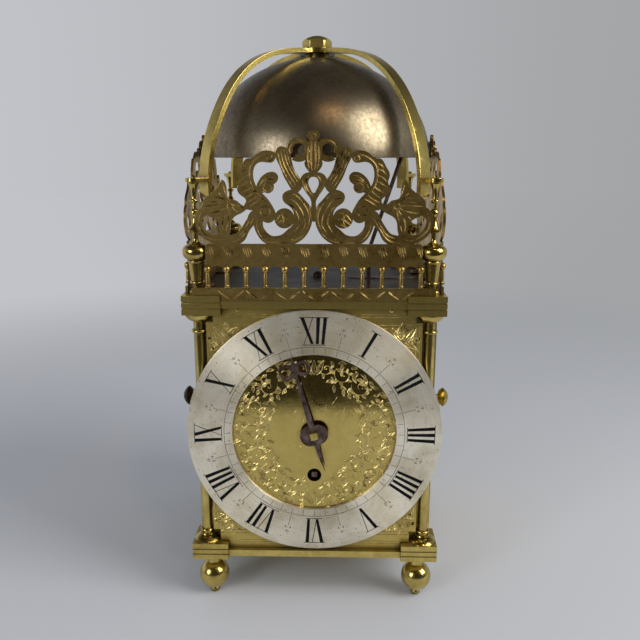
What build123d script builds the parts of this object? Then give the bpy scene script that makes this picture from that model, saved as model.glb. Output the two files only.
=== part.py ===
from build123d import *
import os
from math import asin, atan2, cos, degrees, hypot, pi, radians, sin, sqrt

os.makedirs("parts", exist_ok=True)

# A lantern clock. It stands on Z = 0, its dial faces -Y, and every size is in millimetres.

# ---------------------------------------------------------------- driving dimensions
# Case
ring_radius = 82.5          # chapter ring, 6 1/2 inches across, which the case is built round
ring_proud = 2.0            # how far it stands out past the plates' edges on each side
ring_foot_gap = 0.8         # between the ring and the bottom plate
ring_head_gap = 0.9         # between the ring and the top plate
block_proud = 1.5           # how far the corner blocks stand out past the plates' edges
block_side = 24.0           # a corner block in plan
bottom_block_height = 11.2
top_block_height = 12.4
plate_thickness = 4.5
block_drop = 1.8            # how far the bottom blocks hang below their plate
top_plate_rise = 4.2        # how far the top plate sits above its blocks' undersides
pillar_inset = 9.0          # from a block's outer faces to the pillar and finial on it
pillar_radius = 3.3
capital_radius = 8.8
foot_height = 31.4
foot_ball_radius = 10.2
foot_ball_z = 14.0
spigot_radius = 2.4         # turned ends that go into the blocks
spigot_length = 4.6
groove_depth = 0.5          # lines turned round each block
groove_width = 0.9

# Dial
ring_band = 29.1            # width of its silvered band
ring_thickness = 2.0
dial_inset = 3.6            # the dial plate's outer face, behind the plates' edges
sheet = 2.0                 # dial plate and rear plate
sheet_gap = 1.7             # between the dial plate and the pillars
winding_drop = 29.5         # winding square below the dial's middle
winding_hole = 4.6
inlay_depth = 0.3           # black wax in the engraved numerals
stud_radius = 1.2           # studs behind the chapter ring
stud_inset = 14.5           # from the ring's edge to its studs
tenon_x = 30.0              # tenons under the dial plate and the rear plate
tenon_width = 8.0
tenon_length = 3.0
lug_x = 48.3                # lugs that hold the tops of the two plates
lug_width = 10.0
lug_reach = 10.0
lug_leaf = 1.5
rivet_radius = 0.9
foot_pin = 1.5              # ends of the dial feet
foot_pin_length = 1.5
numeral_inset = 4.5         # from the ring's edge to the tops of the numerals
numeral_height = 17.4
thick = 2.1                 # a numeral's thick and thin strokes
hair = 0.45

# Hand
hand_overlap = 0.6          # how far the hand's tip reaches over the ring
hand_tail = 26.0
hand_thickness = 1.2
hand_rise = 1.3             # between the chapter ring's face and the hand
hand_angle = 15.5           # turned from upright towards XI
collet_rise = 2.0
collet_half = 2.3
collet_plug = 3.4
pipe_outer = 3.5            # the hour wheel's pipe, which carries the hand
pipe_end = 3.1
pipe_bore = 2.55

# Frets
fret_thickness = 1.6
fret_inset = 0.1            # a fret's outer face, behind the plates' edges
base_rail_lap = 2.0         # how far the base rail reaches past the finials' middles
base_rail_height = 8.4
arcade_height = 14.6
upper_rail_gap = 7.0        # from the upper rail's ends to the finials' middles
upper_rail_height = 12.6
arch_count = 11
arch_end = 0.88             # half of what the arcade's end posts have over the others
arch_post = 2.84            # between two arches
arch_spring = 9.3           # straight part of an arch's sides
tab_x = 30.0                # tabs that hold a fret on the top plate
tab_width = 9.0
tab_reach = 8.0
tab_thickness = 1.4
tab_screw = 1.0

# Finials, bell and strap
cup_height = 68.4           # from the block to the finial's cup, which carries the strap
spike_height = 4.0
spike_radius = 1.5
bulb_radius = 8.6
bell_fret_gap = 1.3         # between the bell's rim and the frets
bell_height = 65.3
bell_wall = 2.5
bell_rise = 14.7            # its rim above the finials' cups
bell_flat = 0.3             # filed off the crown for the spacer
strap_width = 9.6
strap_thickness = 3.0
strap_drop = 9.0            # its arms' ends below the finials' cups
strap_reach = 9.24          # from an arm's centre line to the finial that holds it
strap_lug = 2.5
boss_radius = 12.5
nut_across = 18.0
nut_height = 6.0
nut_dome = 3.0
bolt_radius = 3.0
spacer_radius = 8.0
spacer_height = 2.8
leather = 1.3
leather_radius = 7.0

# Doors
door_inset = 3.3            # a side door's inner face, behind the plates' edges
door_thickness = 1.5
door_gap = 6.2              # between a door's edge and the pillars
hinge_inset = 2.0           # from the door's edge to its hinge
pintle_radius = 1.2
pintle_length = 3.2
knob_radius = 6.5
knob_reach = 11.5
knob_pin = 1.5
knob_inset = 13.5           # from the door's front edge to its knob
knob_rise = 16.0            # the knob above the dial's middle
rear_knob_radius = 5.0

# Movement
movement_inset = 14.9       # the front movement plate's face, behind the dial plate's
movement_depth = 40.0       # between the two movement plates
plate = 2.0                 # movement plates
movement_half = 42.0
movement_drop = 63.0        # the movement plates below and above the dial's middle
movement_rise = 69.0
great_teeth = 72            # each wheel, and the pinion that it drives
centre_leaves = 8
centre_teeth = 84
third_leaves = 7
centre_module = 0.5
third_teeth = 96
escape_leaves = 6
third_module = 0.4
minute_teeth = 30
cannon_leaves = 10
hour_teeth = 32
minute_leaves = 8
motion_module = 0.6
pivot = 0.8
pivot_length = 1.8
endshake = 0.2
arbor_radius = 1.2
third_root = 1.0            # an arbor where its pinion is cut
escape_root = 0.6
front_journal = 1.5         # the centre arbor in the front plate
wheel_thick = 1.5
pinion_long = 4.6
third_lean = 35.0           # from upright to the third arbor, seen from the centre arbor
escape_teeth = 30
escape_radius = 15.0
pallet_half_span = 45.0     # from upright to a pallet, seen from the escape arbor
pallet_gap = 0.15
anchor_thick = 2.4
ratchet_teeth = 24
ratchet_radius = 9.5
ratchet_depth = 1.3
click_angle = 48.0          # the tooth that the click holds
click_reach = 15.5
click_lean = 95.0
winding_square = 3.5
barrel_journal = 2.5
barrel_pivot = 2.0
barrel_core = 5.0
barrel_radius = 24.0
barrel_wall = 1.5
spring_strip = 0.9
spring_turns = 6
spring_start = 5.6
spring_gap = 1.0
pendulum_length = 97.0
pendulum_gap = 11.0         # the pendulum's rod behind the rear movement plate
bob_radius = 8.5
rod_radius = 1.2
hammer_x = 35.6
hammer_rise = 39.0          # the hammer's arbor above the dial's middle
hammer_inset = 25.0         # the hammer's rod behind the front movement plate's face
hammer_rod = 1.3
hammer_head = 5.5
lift_circle = 17.0          # lifting pin, from the centre arbor
lift_pin = 0.9
bracket_y = 10.0            # screw that hangs the movement from the top plate
bracket_screw_radius = 2.0
bracket_half = 8.0
bracket_drop = 8.0          # the bracket's leaf below the movement plates' tops
leaf = 1.5                  # sheet of the bracket and of the cock's feet
screw = 1.4
screw_depth = 6.0
cock_half = 18.0
cock_foot = 8.0
cock_rise = 3.8
cock_gap = 20.0             # the cock's rear face behind the rear movement plate's
tail_thick = 2.0
tail_nose = 0.75
tail_angle = 48.0           # the tail's end, seen from the centre arbor
minute_post = 0.9
cannon_pipe = 2.5
hammer_bend = 27.1          # the rod's bend above the top plate
hammer_blow = 7.3           # the hammer's head above the bell's rim
hammer_turn = -31.47        # the head's direction from the bell's middle

# Layers of the movement, as distances in front of the front movement plate's face
square_ahead = 14.2
centre_ahead = 13.0
cannon_ahead = 15.0
minute_pinion_ahead = 8.9
hour_wheel_ahead = 8.3
cannon_teeth_ahead = 4.6
minute_wheel_ahead = 3.4
ratchet_ahead = 2.0
ratchet_gap = 0.3
great_ahead = -5.0
barrel_ahead = -7.5
barrel_behind = -29.5
third_wheel_ahead = -16.0
escape_ahead = -26.0
anchor_ahead = -25.4
third_pinion_ahead = -31.0
centre_wheel_ahead = -33.0
tail_ahead = -30.4

# Named clearances
fit = 0.05                  # a turned end in its hole, and a running arbor in its hole
seat_gap = 0.1              # a sheet between the two plates
move_gap = 0.5              # round a door, a pipe and other moving pieces
bell_gap = 1.0              # the hammer off the bell at rest
tail_gap = 0.6              # the hammer's tail off the lifting pin's path

# ---------------------------------------------------------------- worked out from them
plate_half = ring_radius - ring_proud
block_outer = plate_half + block_proud
block_centre = block_outer - block_side / 2
block_inner = block_outer - block_side
pillar_axis = block_outer - pillar_inset
bottom_plate_low = foot_height + block_drop
bottom_plate_top = bottom_plate_low + plate_thickness
dial_z = bottom_plate_top + ring_foot_gap + ring_radius
top_plate_low = dial_z + ring_radius + ring_head_gap
top_plate_top = top_plate_low + plate_thickness
pillar_low = foot_height + bottom_block_height
pillar_top = top_plate_low - top_plate_rise
pillar_length = pillar_top - pillar_low
block_top = pillar_top + top_block_height
sheet_half = pillar_axis - pillar_radius - sheet_gap
ring_inner = ring_radius - ring_band
stud_circle = ring_radius - stud_inset
numeral_high = ring_radius - numeral_inset
numeral_low = numeral_high - numeral_height
numeral_middle = (numeral_high + numeral_low) / 2
hand_reach = ring_inner + hand_overlap
winding_z = dial_z - winding_drop
dial_face = plate_half - dial_inset
dial_back = dial_face - sheet
ring_face = dial_face + ring_thickness
hand_back = ring_face + hand_rise
hand_face = hand_back + hand_thickness
collet_face = hand_face + collet_rise
fret_face = plate_half - fret_inset
fret_back = fret_face - fret_thickness
base_rail_half = pillar_axis + base_rail_lap
upper_rail_half = pillar_axis - upper_rail_gap
arch_pitch = 2 * (upper_rail_half - arch_end) / arch_count
arch_width = arch_pitch - arch_post
rail_base = top_plate_top + base_rail_height
arcade_top = rail_base + arcade_height
scroll_base = arcade_top + upper_rail_height
cup_z = block_top + cup_height
finial_out = pillar_axis * sqrt(2)
bell_radius = fret_back - bell_fret_gap
bell_rim_z = cup_z + bell_rise
crown = bell_rim_z + bell_height - bell_flat
nut_low = crown + spacer_height + strap_thickness
strap_top_z = nut_low - strap_thickness / 2
strap_foot_z = cup_z - strap_drop
strap_foot_out = finial_out - strap_reach
leather_top = bell_rim_z + (bell_height - bell_wall) * sqrt(
    1 - (leather_radius / (bell_radius - bell_wall)) ** 2
)
bolt_length = nut_low + nut_height - 1 - leather_top + leather
rivet_z = top_plate_low - 1.6
door_inner = plate_half - door_inset
door_outer = door_inner + door_thickness
door_half = pillar_axis - pillar_radius - door_gap
hinge_x = door_inner + door_thickness / 2
hinge_y = door_half - hinge_inset
knob_y = knob_inset - door_half
knob_z = dial_z + knob_rise
movement_face = dial_face - movement_inset
movement_back = movement_face - 2 * plate - movement_depth   # rear face, from the middle
movement_low = dial_z - movement_drop
movement_high = dial_z + movement_rise
front_inside = movement_face - plate
back_inside = movement_back + plate
square_front = movement_face + square_ahead
centre_front = movement_face + centre_ahead
cannon_front = movement_face + cannon_ahead
minute_pinion_front = movement_face + minute_pinion_ahead
hour_wheel_front = movement_face + hour_wheel_ahead
cannon_teeth_front = movement_face + cannon_teeth_ahead
minute_wheel_front = movement_face + minute_wheel_ahead
ratchet_front = movement_face + ratchet_ahead
ratchet_back = movement_face + ratchet_gap
great_front = movement_face + great_ahead
barrel_front = movement_face + barrel_ahead
barrel_back = movement_face + barrel_behind
third_wheel_front = movement_face + third_wheel_ahead
escape_front = movement_face + escape_ahead
anchor_front = movement_face + anchor_ahead
third_pinion_front = movement_face + third_pinion_ahead
centre_wheel_front = movement_face + centre_wheel_ahead
tail_front = movement_face + tail_ahead
pendulum_y = pendulum_gap - movement_back
cock_reach = cock_gap - movement_back   # rear face of the cock, behind the middle
bracket_low = movement_high - bracket_drop
hammer_z = dial_z + hammer_rise
hammer_y = hammer_inset - movement_face
hammer_bend_z = top_plate_top + hammer_bend
hammer_head_z = bell_rim_z + hammer_blow
bell_inside = (bell_radius - bell_wall) * sqrt(1 - (hammer_blow / (bell_height - bell_wall)) ** 2)
hammer_out = bell_inside - bell_gap - hammer_head
hammer_head_at = (
    hammer_out * cos(radians(hammer_turn)), hammer_out * sin(radians(hammer_turn)), hammer_head_z
)
sides = (-1, 1)
tab_out = fret_back - tab_reach / 2
tab_screws_at = [
    (-tab_x, -tab_out), (tab_x, -tab_out), (-tab_out, -tab_x), (-tab_out, tab_x),
    (tab_out, -tab_x), (tab_out, tab_x),
]
corners = {
    "front_left": (-1, -1), "front_right": (1, -1),
    "rear_left": (-1, 1), "rear_right": (1, 1),
}

# Arbors of the movement, as (X, Z)
centre_at = (0.0, dial_z)
barrel_at = (0.0, winding_z)
great_module = 2 * winding_drop / (great_teeth + centre_leaves)
third_distance = centre_module * (centre_teeth + third_leaves) / 2
third_at = (
    -third_distance * sin(radians(third_lean)),
    dial_z + third_distance * cos(radians(third_lean)),
)
escape_distance = third_module * (third_teeth + escape_leaves) / 2
escape_at = (0.0, third_at[1] + sqrt(escape_distance**2 - third_at[0] ** 2))
nib_low = escape_radius + pallet_gap
anchor_at = (0.0, escape_at[1] + escape_radius / cos(radians(pallet_half_span)))
click_at = (
    click_reach * cos(radians(click_lean)),
    winding_z + click_reach * sin(radians(click_lean)),
)
minute_at = (motion_module * (minute_teeth + cannon_leaves) / 2, dial_z)
hammer_at = (hammer_x, hammer_z)
tail_toe = (
    (lift_circle + lift_pin + tail_gap + tail_nose) * cos(radians(tail_angle)),
    dial_z + (lift_circle + lift_pin + tail_gap + tail_nose) * sin(radians(tail_angle)),
)
movement_pillars_at = [
    (x, dial_z + rise) for x, rise in ((-34.0, -57.0), (34.0, -57.0), (-24.0, 62.0), (24.0, 62.0))
]
dial_feet_at = [
    (x, dial_z + rise) for x, rise in ((-34.0, -43.0), (34.0, -43.0), (-36.0, 57.0), (36.0, 57.0))
]
cock_screws_at = [(way * (cock_half + cock_foot / 2), anchor_at[1]) for way in sides]
bracket_screws_at = [(-4.5, movement_high - 3.5), (4.5, movement_high - 3.5)]


# ---------------------------------------------------------------- shared ways of making
def keep(piece, name):
    """Labels a finished piece and writes it to its own file."""
    piece.part.label = name
    export_step(piece.part, f"parts/{name}.step")


def outline(start, *steps):
    """Draws a closed outline. A step of two numbers is a line, of four an arc by its middle."""
    at = start
    for step in steps:
        end = step[-2:]
        if len(step) == 4:
            ThreePointArc(at, step[:2], end)
        else:
            Line(at, end)
        at = end
    if at != start:
        Line(at, start)


def cap(radius, base, height):
    """An arc that closes a turned shape with part of a ball: its middle and its end."""
    ball = (radius**2 + height**2) / (2 * height)
    lean = asin(radius / ball) / 2
    return (ball * sin(lean), base + height - ball + ball * cos(lean), 0, base + height)


def spun(origin, along, start, *steps, mode=Mode.ADD):
    """Adds a turned shape: an outline in (radius, distance along the axis), spun round it."""
    along = Vector(*along)
    side = Vector(1, 0, 0) if abs(along.X) < 0.5 else Vector(0, 0, 1)
    with BuildSketch(Plane(origin=origin, x_dir=side, z_dir=side.cross(along))) as profile:
        with BuildLine():
            outline(start, *steps)
        make_face()
    revolve(profile.sketch, axis=Axis(origin, along), mode=mode)


def facing(y, x=0.0, z=0.0):
    """The plane at a given Y that faces the clock's front, with its own origin at (x, z)."""
    return Plane(origin=(x, y, z), x_dir=(1, 0, 0), z_dir=(0, -1, 0))


def rod_y(at, radius, front, back, mode=Mode.ADD):
    """Adds a round bar along Y at (X, Z) between two distances in front of the middle."""
    with BuildSketch(facing(-front, at[0], at[1])) as disc:
        Circle(radius)
    extrude(disc.sketch, amount=back - front, mode=mode)


def tooth_points(teeth, module, first, tip_rise, root_drop, share):
    """Outline of a cut wheel or pinion with one tooth centred at the angle first."""
    pitch_radius = module * teeth / 2
    half = share * pi / (2 * teeth)
    shape = (
        (pitch_radius - root_drop * module, 1.0),
        (pitch_radius, 1.0),
        (pitch_radius + tip_rise * module, 0.3),
    )
    points = []
    for n in range(teeth):
        middle = radians(first) + 2 * pi * n / teeth
        flank = [(r, middle - half * w) for r, w in shape]
        flank += [(r, middle + half * w) for r, w in reversed(shape)]
        points += [(r * cos(a), r * sin(a)) for r, a in flank]
    return points


def wheel_points(teeth, module, first):
    return tooth_points(teeth, module, first, 1.0, 1.3, 0.9)


def pinion_points(teeth, module, first):
    return tooth_points(teeth, module, first, 0.7, 1.5, 0.7)


def toothed(points, at, front, back):
    """Adds a toothed disc at (X, Z) between two distances in front of the middle."""
    with BuildSketch(facing(-front, at[0], at[1])) as wheel:
        Polygon(*points, align=None)
    extrude(wheel.sketch, amount=back - front)


def crossings(at, front, back, hub, rim, spoke, first=45.0):
    """Cuts a wheel's openings, which leave four spokes."""
    with BuildSketch(facing(-front, at[0], at[1])) as gaps:
        Circle(rim)
        Circle(hub, mode=Mode.SUBTRACT)
        Rectangle(3 * rim, spoke, rotation=first, mode=Mode.SUBTRACT)
        Rectangle(3 * rim, spoke, rotation=first + 90, mode=Mode.SUBTRACT)
    extrude(gaps.sketch, amount=back - front, mode=Mode.SUBTRACT)


# ---------------------------------------------------------------- bottom and top plates
def square_block(low, height):
    """Adds the four corner blocks of a plate, with two lines cut round each."""
    with BuildSketch(Plane.XY.offset(low)) as blocks:
        with GridLocations(2 * block_centre, 2 * block_centre, 2, 2):
            Rectangle(block_side, block_side)
    extrude(blocks.sketch, amount=height)
    lined = block_side - 2 * groove_depth
    for share in (0.3, 0.62):
        with BuildSketch(Plane.XY.offset(low + share * height)) as lines:
            with GridLocations(2 * block_centre, 2 * block_centre, 2, 2):
                Rectangle(block_side + 2, block_side + 2)
                Rectangle(lined, lined, mode=Mode.SUBTRACT)
            Rectangle(2 * (block_inner + groove_depth), 2 * plate_half, mode=Mode.SUBTRACT)
            Rectangle(2 * plate_half, 2 * (block_inner + groove_depth), mode=Mode.SUBTRACT)
        extrude(lines.sketch, amount=groove_width, mode=Mode.SUBTRACT)


def upright_holes(centre, radius, low, depth):
    """Cuts a hole upwards from a height, in each corner."""
    with BuildSketch(Plane.XY.offset(low)) as holes:
        with GridLocations(2 * centre, 2 * centre, 2, 2):
            Circle(radius)
    extrude(holes.sketch, amount=depth, mode=Mode.SUBTRACT)


def pintle_holes(low, depth):
    with BuildSketch(Plane.XY.offset(low)) as holes:
        with Locations((-hinge_x, hinge_y), (hinge_x, hinge_y)):
            Circle(pintle_radius + fit)
    extrude(holes.sketch, amount=depth, mode=Mode.SUBTRACT)


with BuildPart() as bottom_plate:
    with BuildSketch(Plane.XY.offset(bottom_plate_low)):
        Rectangle(2 * plate_half, 2 * plate_half)
    extrude(amount=plate_thickness)
    square_block(foot_height, bottom_block_height)
    upright_holes(block_centre, spigot_radius + fit, foot_height, spigot_length + fit)
    upright_holes(pillar_axis, spigot_radius + fit, pillar_low, -spigot_length - fit)
    pintle_holes(pillar_low, -pintle_length - fit)
    with BuildSketch(Plane.XY.offset(bottom_plate_top)):
        with GridLocations(2 * tenon_x, dial_face + dial_back, 2, 2):
            Rectangle(tenon_width + 2 * seat_gap, sheet + 2 * seat_gap)
    extrude(amount=-tenon_length - seat_gap, mode=Mode.SUBTRACT)
keep(bottom_plate, "bottom_plate")

with BuildPart() as top_plate:
    with BuildSketch(Plane.XY.offset(top_plate_low)):
        Rectangle(2 * plate_half, 2 * plate_half)
    extrude(amount=plate_thickness)
    square_block(pillar_top, top_block_height)
    upright_holes(pillar_axis, spigot_radius + fit, pillar_top, spigot_length + fit)
    upright_holes(pillar_axis, spigot_radius + fit, block_top, -spigot_length - fit)
    pintle_holes(pillar_top, pintle_length + fit)
    # the hammer's slot, and holes for the movement's screw and the frets' screws
    with BuildSketch(Plane.XY.offset(top_plate_low)):
        with Locations((hammer_x - 4.5, hammer_y)):
            SlotOverall(17.0, 5.6)
        with Locations((0, bracket_y)):
            Circle(bracket_screw_radius + fit)
        with Locations(*tab_screws_at):
            Circle(tab_screw + fit)
    extrude(amount=plate_thickness, mode=Mode.SUBTRACT)
keep(top_plate, "top_plate")

# ---------------------------------------------------------------- feet, pillars, finials
for name, (x, y) in corners.items():
    with BuildPart() as foot:
        neck = 4.2
        waist = 2.0
        ball_low = foot_ball_z - sqrt(foot_ball_radius**2 - waist**2)
        ball_high = foot_ball_z + sqrt(foot_ball_radius**2 - neck**2)
        spun(
            (x * block_centre, y * block_centre, 0), (0, 0, 1),
            (0, 0), (2.4, 0), (3.4, ball_low / 2, waist, ball_low),
            (foot_ball_radius, foot_ball_z, neck, ball_high),
            (3.9, (ball_high + foot_height) / 2, 5.6, foot_height),
            (spigot_radius, foot_height), (spigot_radius, foot_height + spigot_length),
            (0, foot_height + spigot_length),
        )
    keep(foot, name + "_foot")

for name, (x, y) in corners.items():
    with BuildPart() as pillar:
        r, low, top = pillar_radius, pillar_low, pillar_top
        spun(
            (x * pillar_axis, y * pillar_axis, 0), (0, 0, 1),
            (0, low - spigot_length), (spigot_radius, low - spigot_length), (spigot_radius, low),
            (capital_radius, low), (capital_radius, low + 0.6),
            (capital_radius - 2.2, low + 2.3, r + 0.4, low + 3.3),
            (r + 1.3, low + 4.1, r + 0.2, low + 4.9), (r + 0.2, low + 6.2),
            (r + 1.4, low + 7.2, r, low + 8.2), (r, top - 12.4),
            (r + 1.7, top - 11.5, r, top - 10.6), (r, top - 5.2),
            (r + 3.4, top - 3.9, capital_radius, top - 0.6), (capital_radius, top),
            (spigot_radius, top), (spigot_radius, top + spigot_length),
            (0, top + spigot_length),
        )
    keep(pillar, name + "_pillar")

for name, (x, y) in corners.items():
    with BuildPart() as finial:
        b = block_top
        spun(
            (x * pillar_axis, y * pillar_axis, 0), (0, 0, 1),
            (0, b - spigot_length), (spigot_radius, b - spigot_length), (spigot_radius, b),
            (5.4, b), (5.4, b + 0.8), (4.9, b + 2.6, 3.2, b + 3.6), (3.2, b + 6.2),
            (4.6, b + 7.1, 3.7, b + 8.1), (4.9, b + 19.4), (5.5, b + 20.3, 5.0, b + 21.2),
            (7.8, b + 23.4, bulb_radius, b + 26.4), (7.6, b + 29.3, 4.6, b + 30.8),
            (2.5, b + 32.2, 1.8, b + 35.0), (1.8, b + 38.2), (4.6, b + 38.9), (4.6, b + 39.7),
            (2.5, b + 42.8, 1.6, b + 47.8), (2.6, b + 50.2, 1.5, b + 52.4), (1.4, b + 56.2),
            (2.7, b + 57.3, 1.6, b + 58.4), (1.9, b + 63.6, 3.2, b + 67.6), (3.2, cup_z),
            (spike_radius, cup_z), (spike_radius, cup_z + spike_height - 0.8),
            (0.6, cup_z + spike_height), (0, cup_z + spike_height),
        )
    keep(finial, name + "_finial")

# ---------------------------------------------------------------- frets
# The left half of the pierced scrollwork, as (X, height above the upper rail).
wing = [
    (-22.2, 53.4), (-27.5, 55.0), (-32.4, 53.6), (-36.8, 50.6), (-39.2, 50.4), (-42.6, 46.1),
    (-45.0, 40.4), (-44.1, 36.8), (-45.5, 32.9), (-43.6, 29.2), (-40.4, 25.9), (-42.0, 21.7),
    (-38.8, 20.4), (-35.2, 19.4), (-30.6, 13.8), (-25.6, 13.0), (-22.8, 17.0), (-24.3, 22.0),
    (-27.2, 26.5), (-31.0, 30.5), (-34.5, 35.0), (-35.8, 42.3), (-33.9, 47.0), (-30.0, 48.4),
    (-26.0, 48.0), (-23.0, 50.0),
]
hook = [
    (-34.4, 30.8), (-33.6, 35.5), (-31.2, 39.5), (-27.5, 42.2), (-23.0, 42.4), (-21.0, 39.9),
    (-22.0, 36.8), (-25.0, 34.5), (-29.0, 31.0),
]
scroll = [
    (-16.4, 31.4), (-10.6, 31.7), (-5.7, 26.9), (-1.8, 22.2), (-0.7, 17.5), (-1.4, 11.4),
    (-3.8, 6.2), (-8.6, 1.5), (-15.4, -0.8), (-25.1, -0.8), (-30.4, 1.2), (-33.8, 5.3),
    (-35.8, 10.0), (-35.8, 16.0), (-33.6, 19.6), (-30.9, 16.0), (-30.4, 10.4), (-28.5, 7.2),
    (-25.6, 5.0), (-22.2, 4.8), (-18.8, 6.0), (-15.9, 8.6), (-12.9, 11.4), (-12.0, 15.1),
    (-12.0, 18.9), (-14.0, 22.2), (-17.9, 25.4), (-18.6, 28.8),
]
feather = [
    (-21.6, 55.9), (-22.6, 52.5), (-20.2, 46.5), (-17.4, 39.5), (-14.4, 34.4), (-11.0, 30.4),
    (-7.6, 32.4), (-6.8, 36.4), (-10.0, 41.5), (-12.6, 48.0), (-14.2, 54.0), (-17.6, 57.2),
]
stem = [
    (0.4, 41.6), (-1.8, 42.4), (-4.8, 42.0), (-7.8, 38.6), (-6.6, 34.0), (-4.0, 30.0),
    (-1.6, 26.0), (-1.9, 20.0), (-1.2, 14.0), (0.4, 13.2),
]
tear = [(-0.2, 39.8), (-2.5, 38.6), (-3.1, 36.0), (-2.0, 33.0), (-0.2, 30.4)]
palmette = [
    (0.4, 62.0), (-2.0, 60.8), (-3.4, 58.6), (-4.7, 55.0), (-4.2, 51.4), (-5.3, 48.2),
    (-3.4, 43.6), (0.4, 40.8),
]
flower = [
    (-54.2, 38.0), (-51.8, 31.1), (-50.9, 27.3), (-46.5, 25.9), (-43.6, 23.6), (-40.2, 21.4),
    (-42.6, 18.9), (-46.5, 17.0), (-49.2, 14.6), (-50.2, 10.4), (-52.0, 5.2), (-55.4, 5.4),
    (-56.9, 11.4), (-60.1, 15.1), (-64.5, 17.5), (-66.6, 20.8), (-66.4, 25.4), (-64.0, 28.3),
    (-60.1, 31.1), (-57.2, 33.9), (-55.6, 36.8),
]
ring_hook = [
    (-65.8, 22.6), (-69.4, 20.2), (-71.4, 15.5), (-70.9, 10.0), (-68.4, 5.0), (-64.0, 1.8),
    (-59.1, -0.4), (-53.5, -0.8), (-50.6, 2.4), (-52.6, 7.4), (-56.2, 6.8), (-59.6, 5.4),
    (-63.9, 7.2), (-66.8, 11.0), (-66.9, 15.5), (-64.2, 17.8),
]
branch = [
    (-54.0, 1.6), (-51.8, -0.7), (-46.2, -0.5), (-41.8, 2.3), (-39.2, 7.2), (-36.3, 11.0),
    (-33.8, 14.5), (-34.0, 19.4), (-36.7, 19.8), (-40.4, 14.9), (-43.0, 10.6), (-46.7, 6.2),
    (-50.9, 5.0),
]


def rounded(points):
    """The shape inside a smooth closed curve through points."""
    with BuildSketch(mode=Mode.PRIVATE) as shape:
        with BuildLine():
            Spline(*points, periodic=True)
        make_face()
    return shape.sketch


with BuildSketch() as half_scrollwork:
    with Locations((-8.6, 55.4)):
        Circle(7.0)
        Circle(3.6, mode=Mode.SUBTRACT)
    with Locations((-12.6, 51.8)):
        Rectangle(6.0, 2.6, rotation=40, mode=Mode.SUBTRACT)
    for shape_points in (wing, hook, scroll, feather, stem, palmette, flower, ring_hook, branch):
        add(rounded(shape_points))
    for x, z, radius in ((-25.6, 50.8, 2.9), (-27.3, 33.9, 3.7), (-17.6, 15.4, 6.0)):
        with Locations((x, z)):
            Circle(radius)
    with Locations((-0.6, 63.4)):
        Circle(3.1)
    add(rounded(tear), mode=Mode.SUBTRACT)
    with Locations((50, 30)):
        Rectangle(100, 100, mode=Mode.SUBTRACT)

with BuildSketch() as fret_outline:
    with Locations((0, scroll_base)):
        add(half_scrollwork.sketch)
    mirror(about=Plane.YZ)
    with Locations((0, scroll_base - upper_rail_height / 2)):
        RectangleRounded(2 * upper_rail_half, upper_rail_height, 2.0)
    with Locations((0, rail_base + arcade_height / 2)):
        Rectangle(2 * upper_rail_half, arcade_height + 2)
    with Locations((0, rail_base)):
        with GridLocations(arch_pitch, 1, arch_count, 1):
            SlotOverall(2 * arch_spring + arch_width, arch_width, rotation=90, mode=Mode.SUBTRACT)
    with Locations((0, rail_base - base_rail_height / 2)):
        Rectangle(2 * base_rail_half, base_rail_height)
    with Locations((0, block_top + seat_gap - block_side / 2)):
        with GridLocations(2 * block_centre, 1, 2, 1):
            Rectangle(block_side + 2 * move_gap, block_side, mode=Mode.SUBTRACT)


def fret_sheet(plane):
    """Adds a fret that stands outwards from a plane, with its two tabs and their holes."""
    with BuildSketch(plane) as pierced:
        add(fret_outline.sketch)
    extrude(pierced.sketch, amount=fret_thickness)
    with BuildSketch(plane) as tabs:
        with Locations((0, top_plate_top + tab_thickness / 2)):
            with GridLocations(2 * tab_x, 1, 2, 1):
                Rectangle(tab_width, tab_thickness)
    extrude(tabs.sketch, amount=-tab_reach)
    lying = Plane(
        origin=plane.origin + Vector(0, 0, top_plate_top), x_dir=plane.x_dir, z_dir=(0, 0, 1)
    )
    with BuildSketch(lying) as screw_holes:
        with Locations((0, tab_reach / 2)):
            with GridLocations(2 * tab_x, 1, 2, 1):
                Circle(tab_screw + fit)
    extrude(screw_holes.sketch, amount=tab_thickness, mode=Mode.SUBTRACT)


with BuildPart() as front_fret:
    fret_sheet(facing(-fret_back))
keep(front_fret, "front_fret")

with BuildPart() as left_fret:
    fret_sheet(Plane(origin=(-fret_back, 0, 0), x_dir=(0, -1, 0), z_dir=(-1, 0, 0)))
keep(left_fret, "left_fret")

with BuildPart() as right_fret:
    fret_sheet(Plane(origin=(fret_back, 0, 0), x_dir=(0, 1, 0), z_dir=(1, 0, 0)))
keep(right_fret, "right_fret")

with BuildPart() as fret_screws:
    for x, y in tab_screws_at:
        spun(
            (x, y, top_plate_top + tab_thickness), (0, 0, 1),
            (0, -plate_thickness), (tab_screw, -plate_thickness), (tab_screw, 0), (2.1, 0),
            (2.1, 0.7), (1.4, 1.2), (0, 1.2),
        )
keep(fret_screws, "fret_screws")

# ---------------------------------------------------------------- bell, strap and nut
with BuildPart() as bell:
    with BuildSketch(Plane.XZ):
        with BuildLine():
            for wall in (0, bell_wall):
                EllipticalCenterArc(
                    (0, bell_rim_z), bell_radius - wall, bell_height - wall,
                    start_angle=0, arc_size=90,
                )
            Line((bell_radius - bell_wall, bell_rim_z), (bell_radius, bell_rim_z))
            Line((0, bell_rim_z + bell_height - bell_wall), (0, bell_rim_z + bell_height))
        make_face()
    revolve(axis=Axis.Z)
    with BuildSketch(Plane.XY.offset(crown)):
        Circle(boss_radius)
    extrude(amount=bell_wall, mode=Mode.SUBTRACT)
    with BuildSketch(Plane.XY.offset(crown)):
        Circle(bolt_radius + fit)
    extrude(amount=-2 * bell_wall, mode=Mode.SUBTRACT)
keep(bell, "bell")

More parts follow.
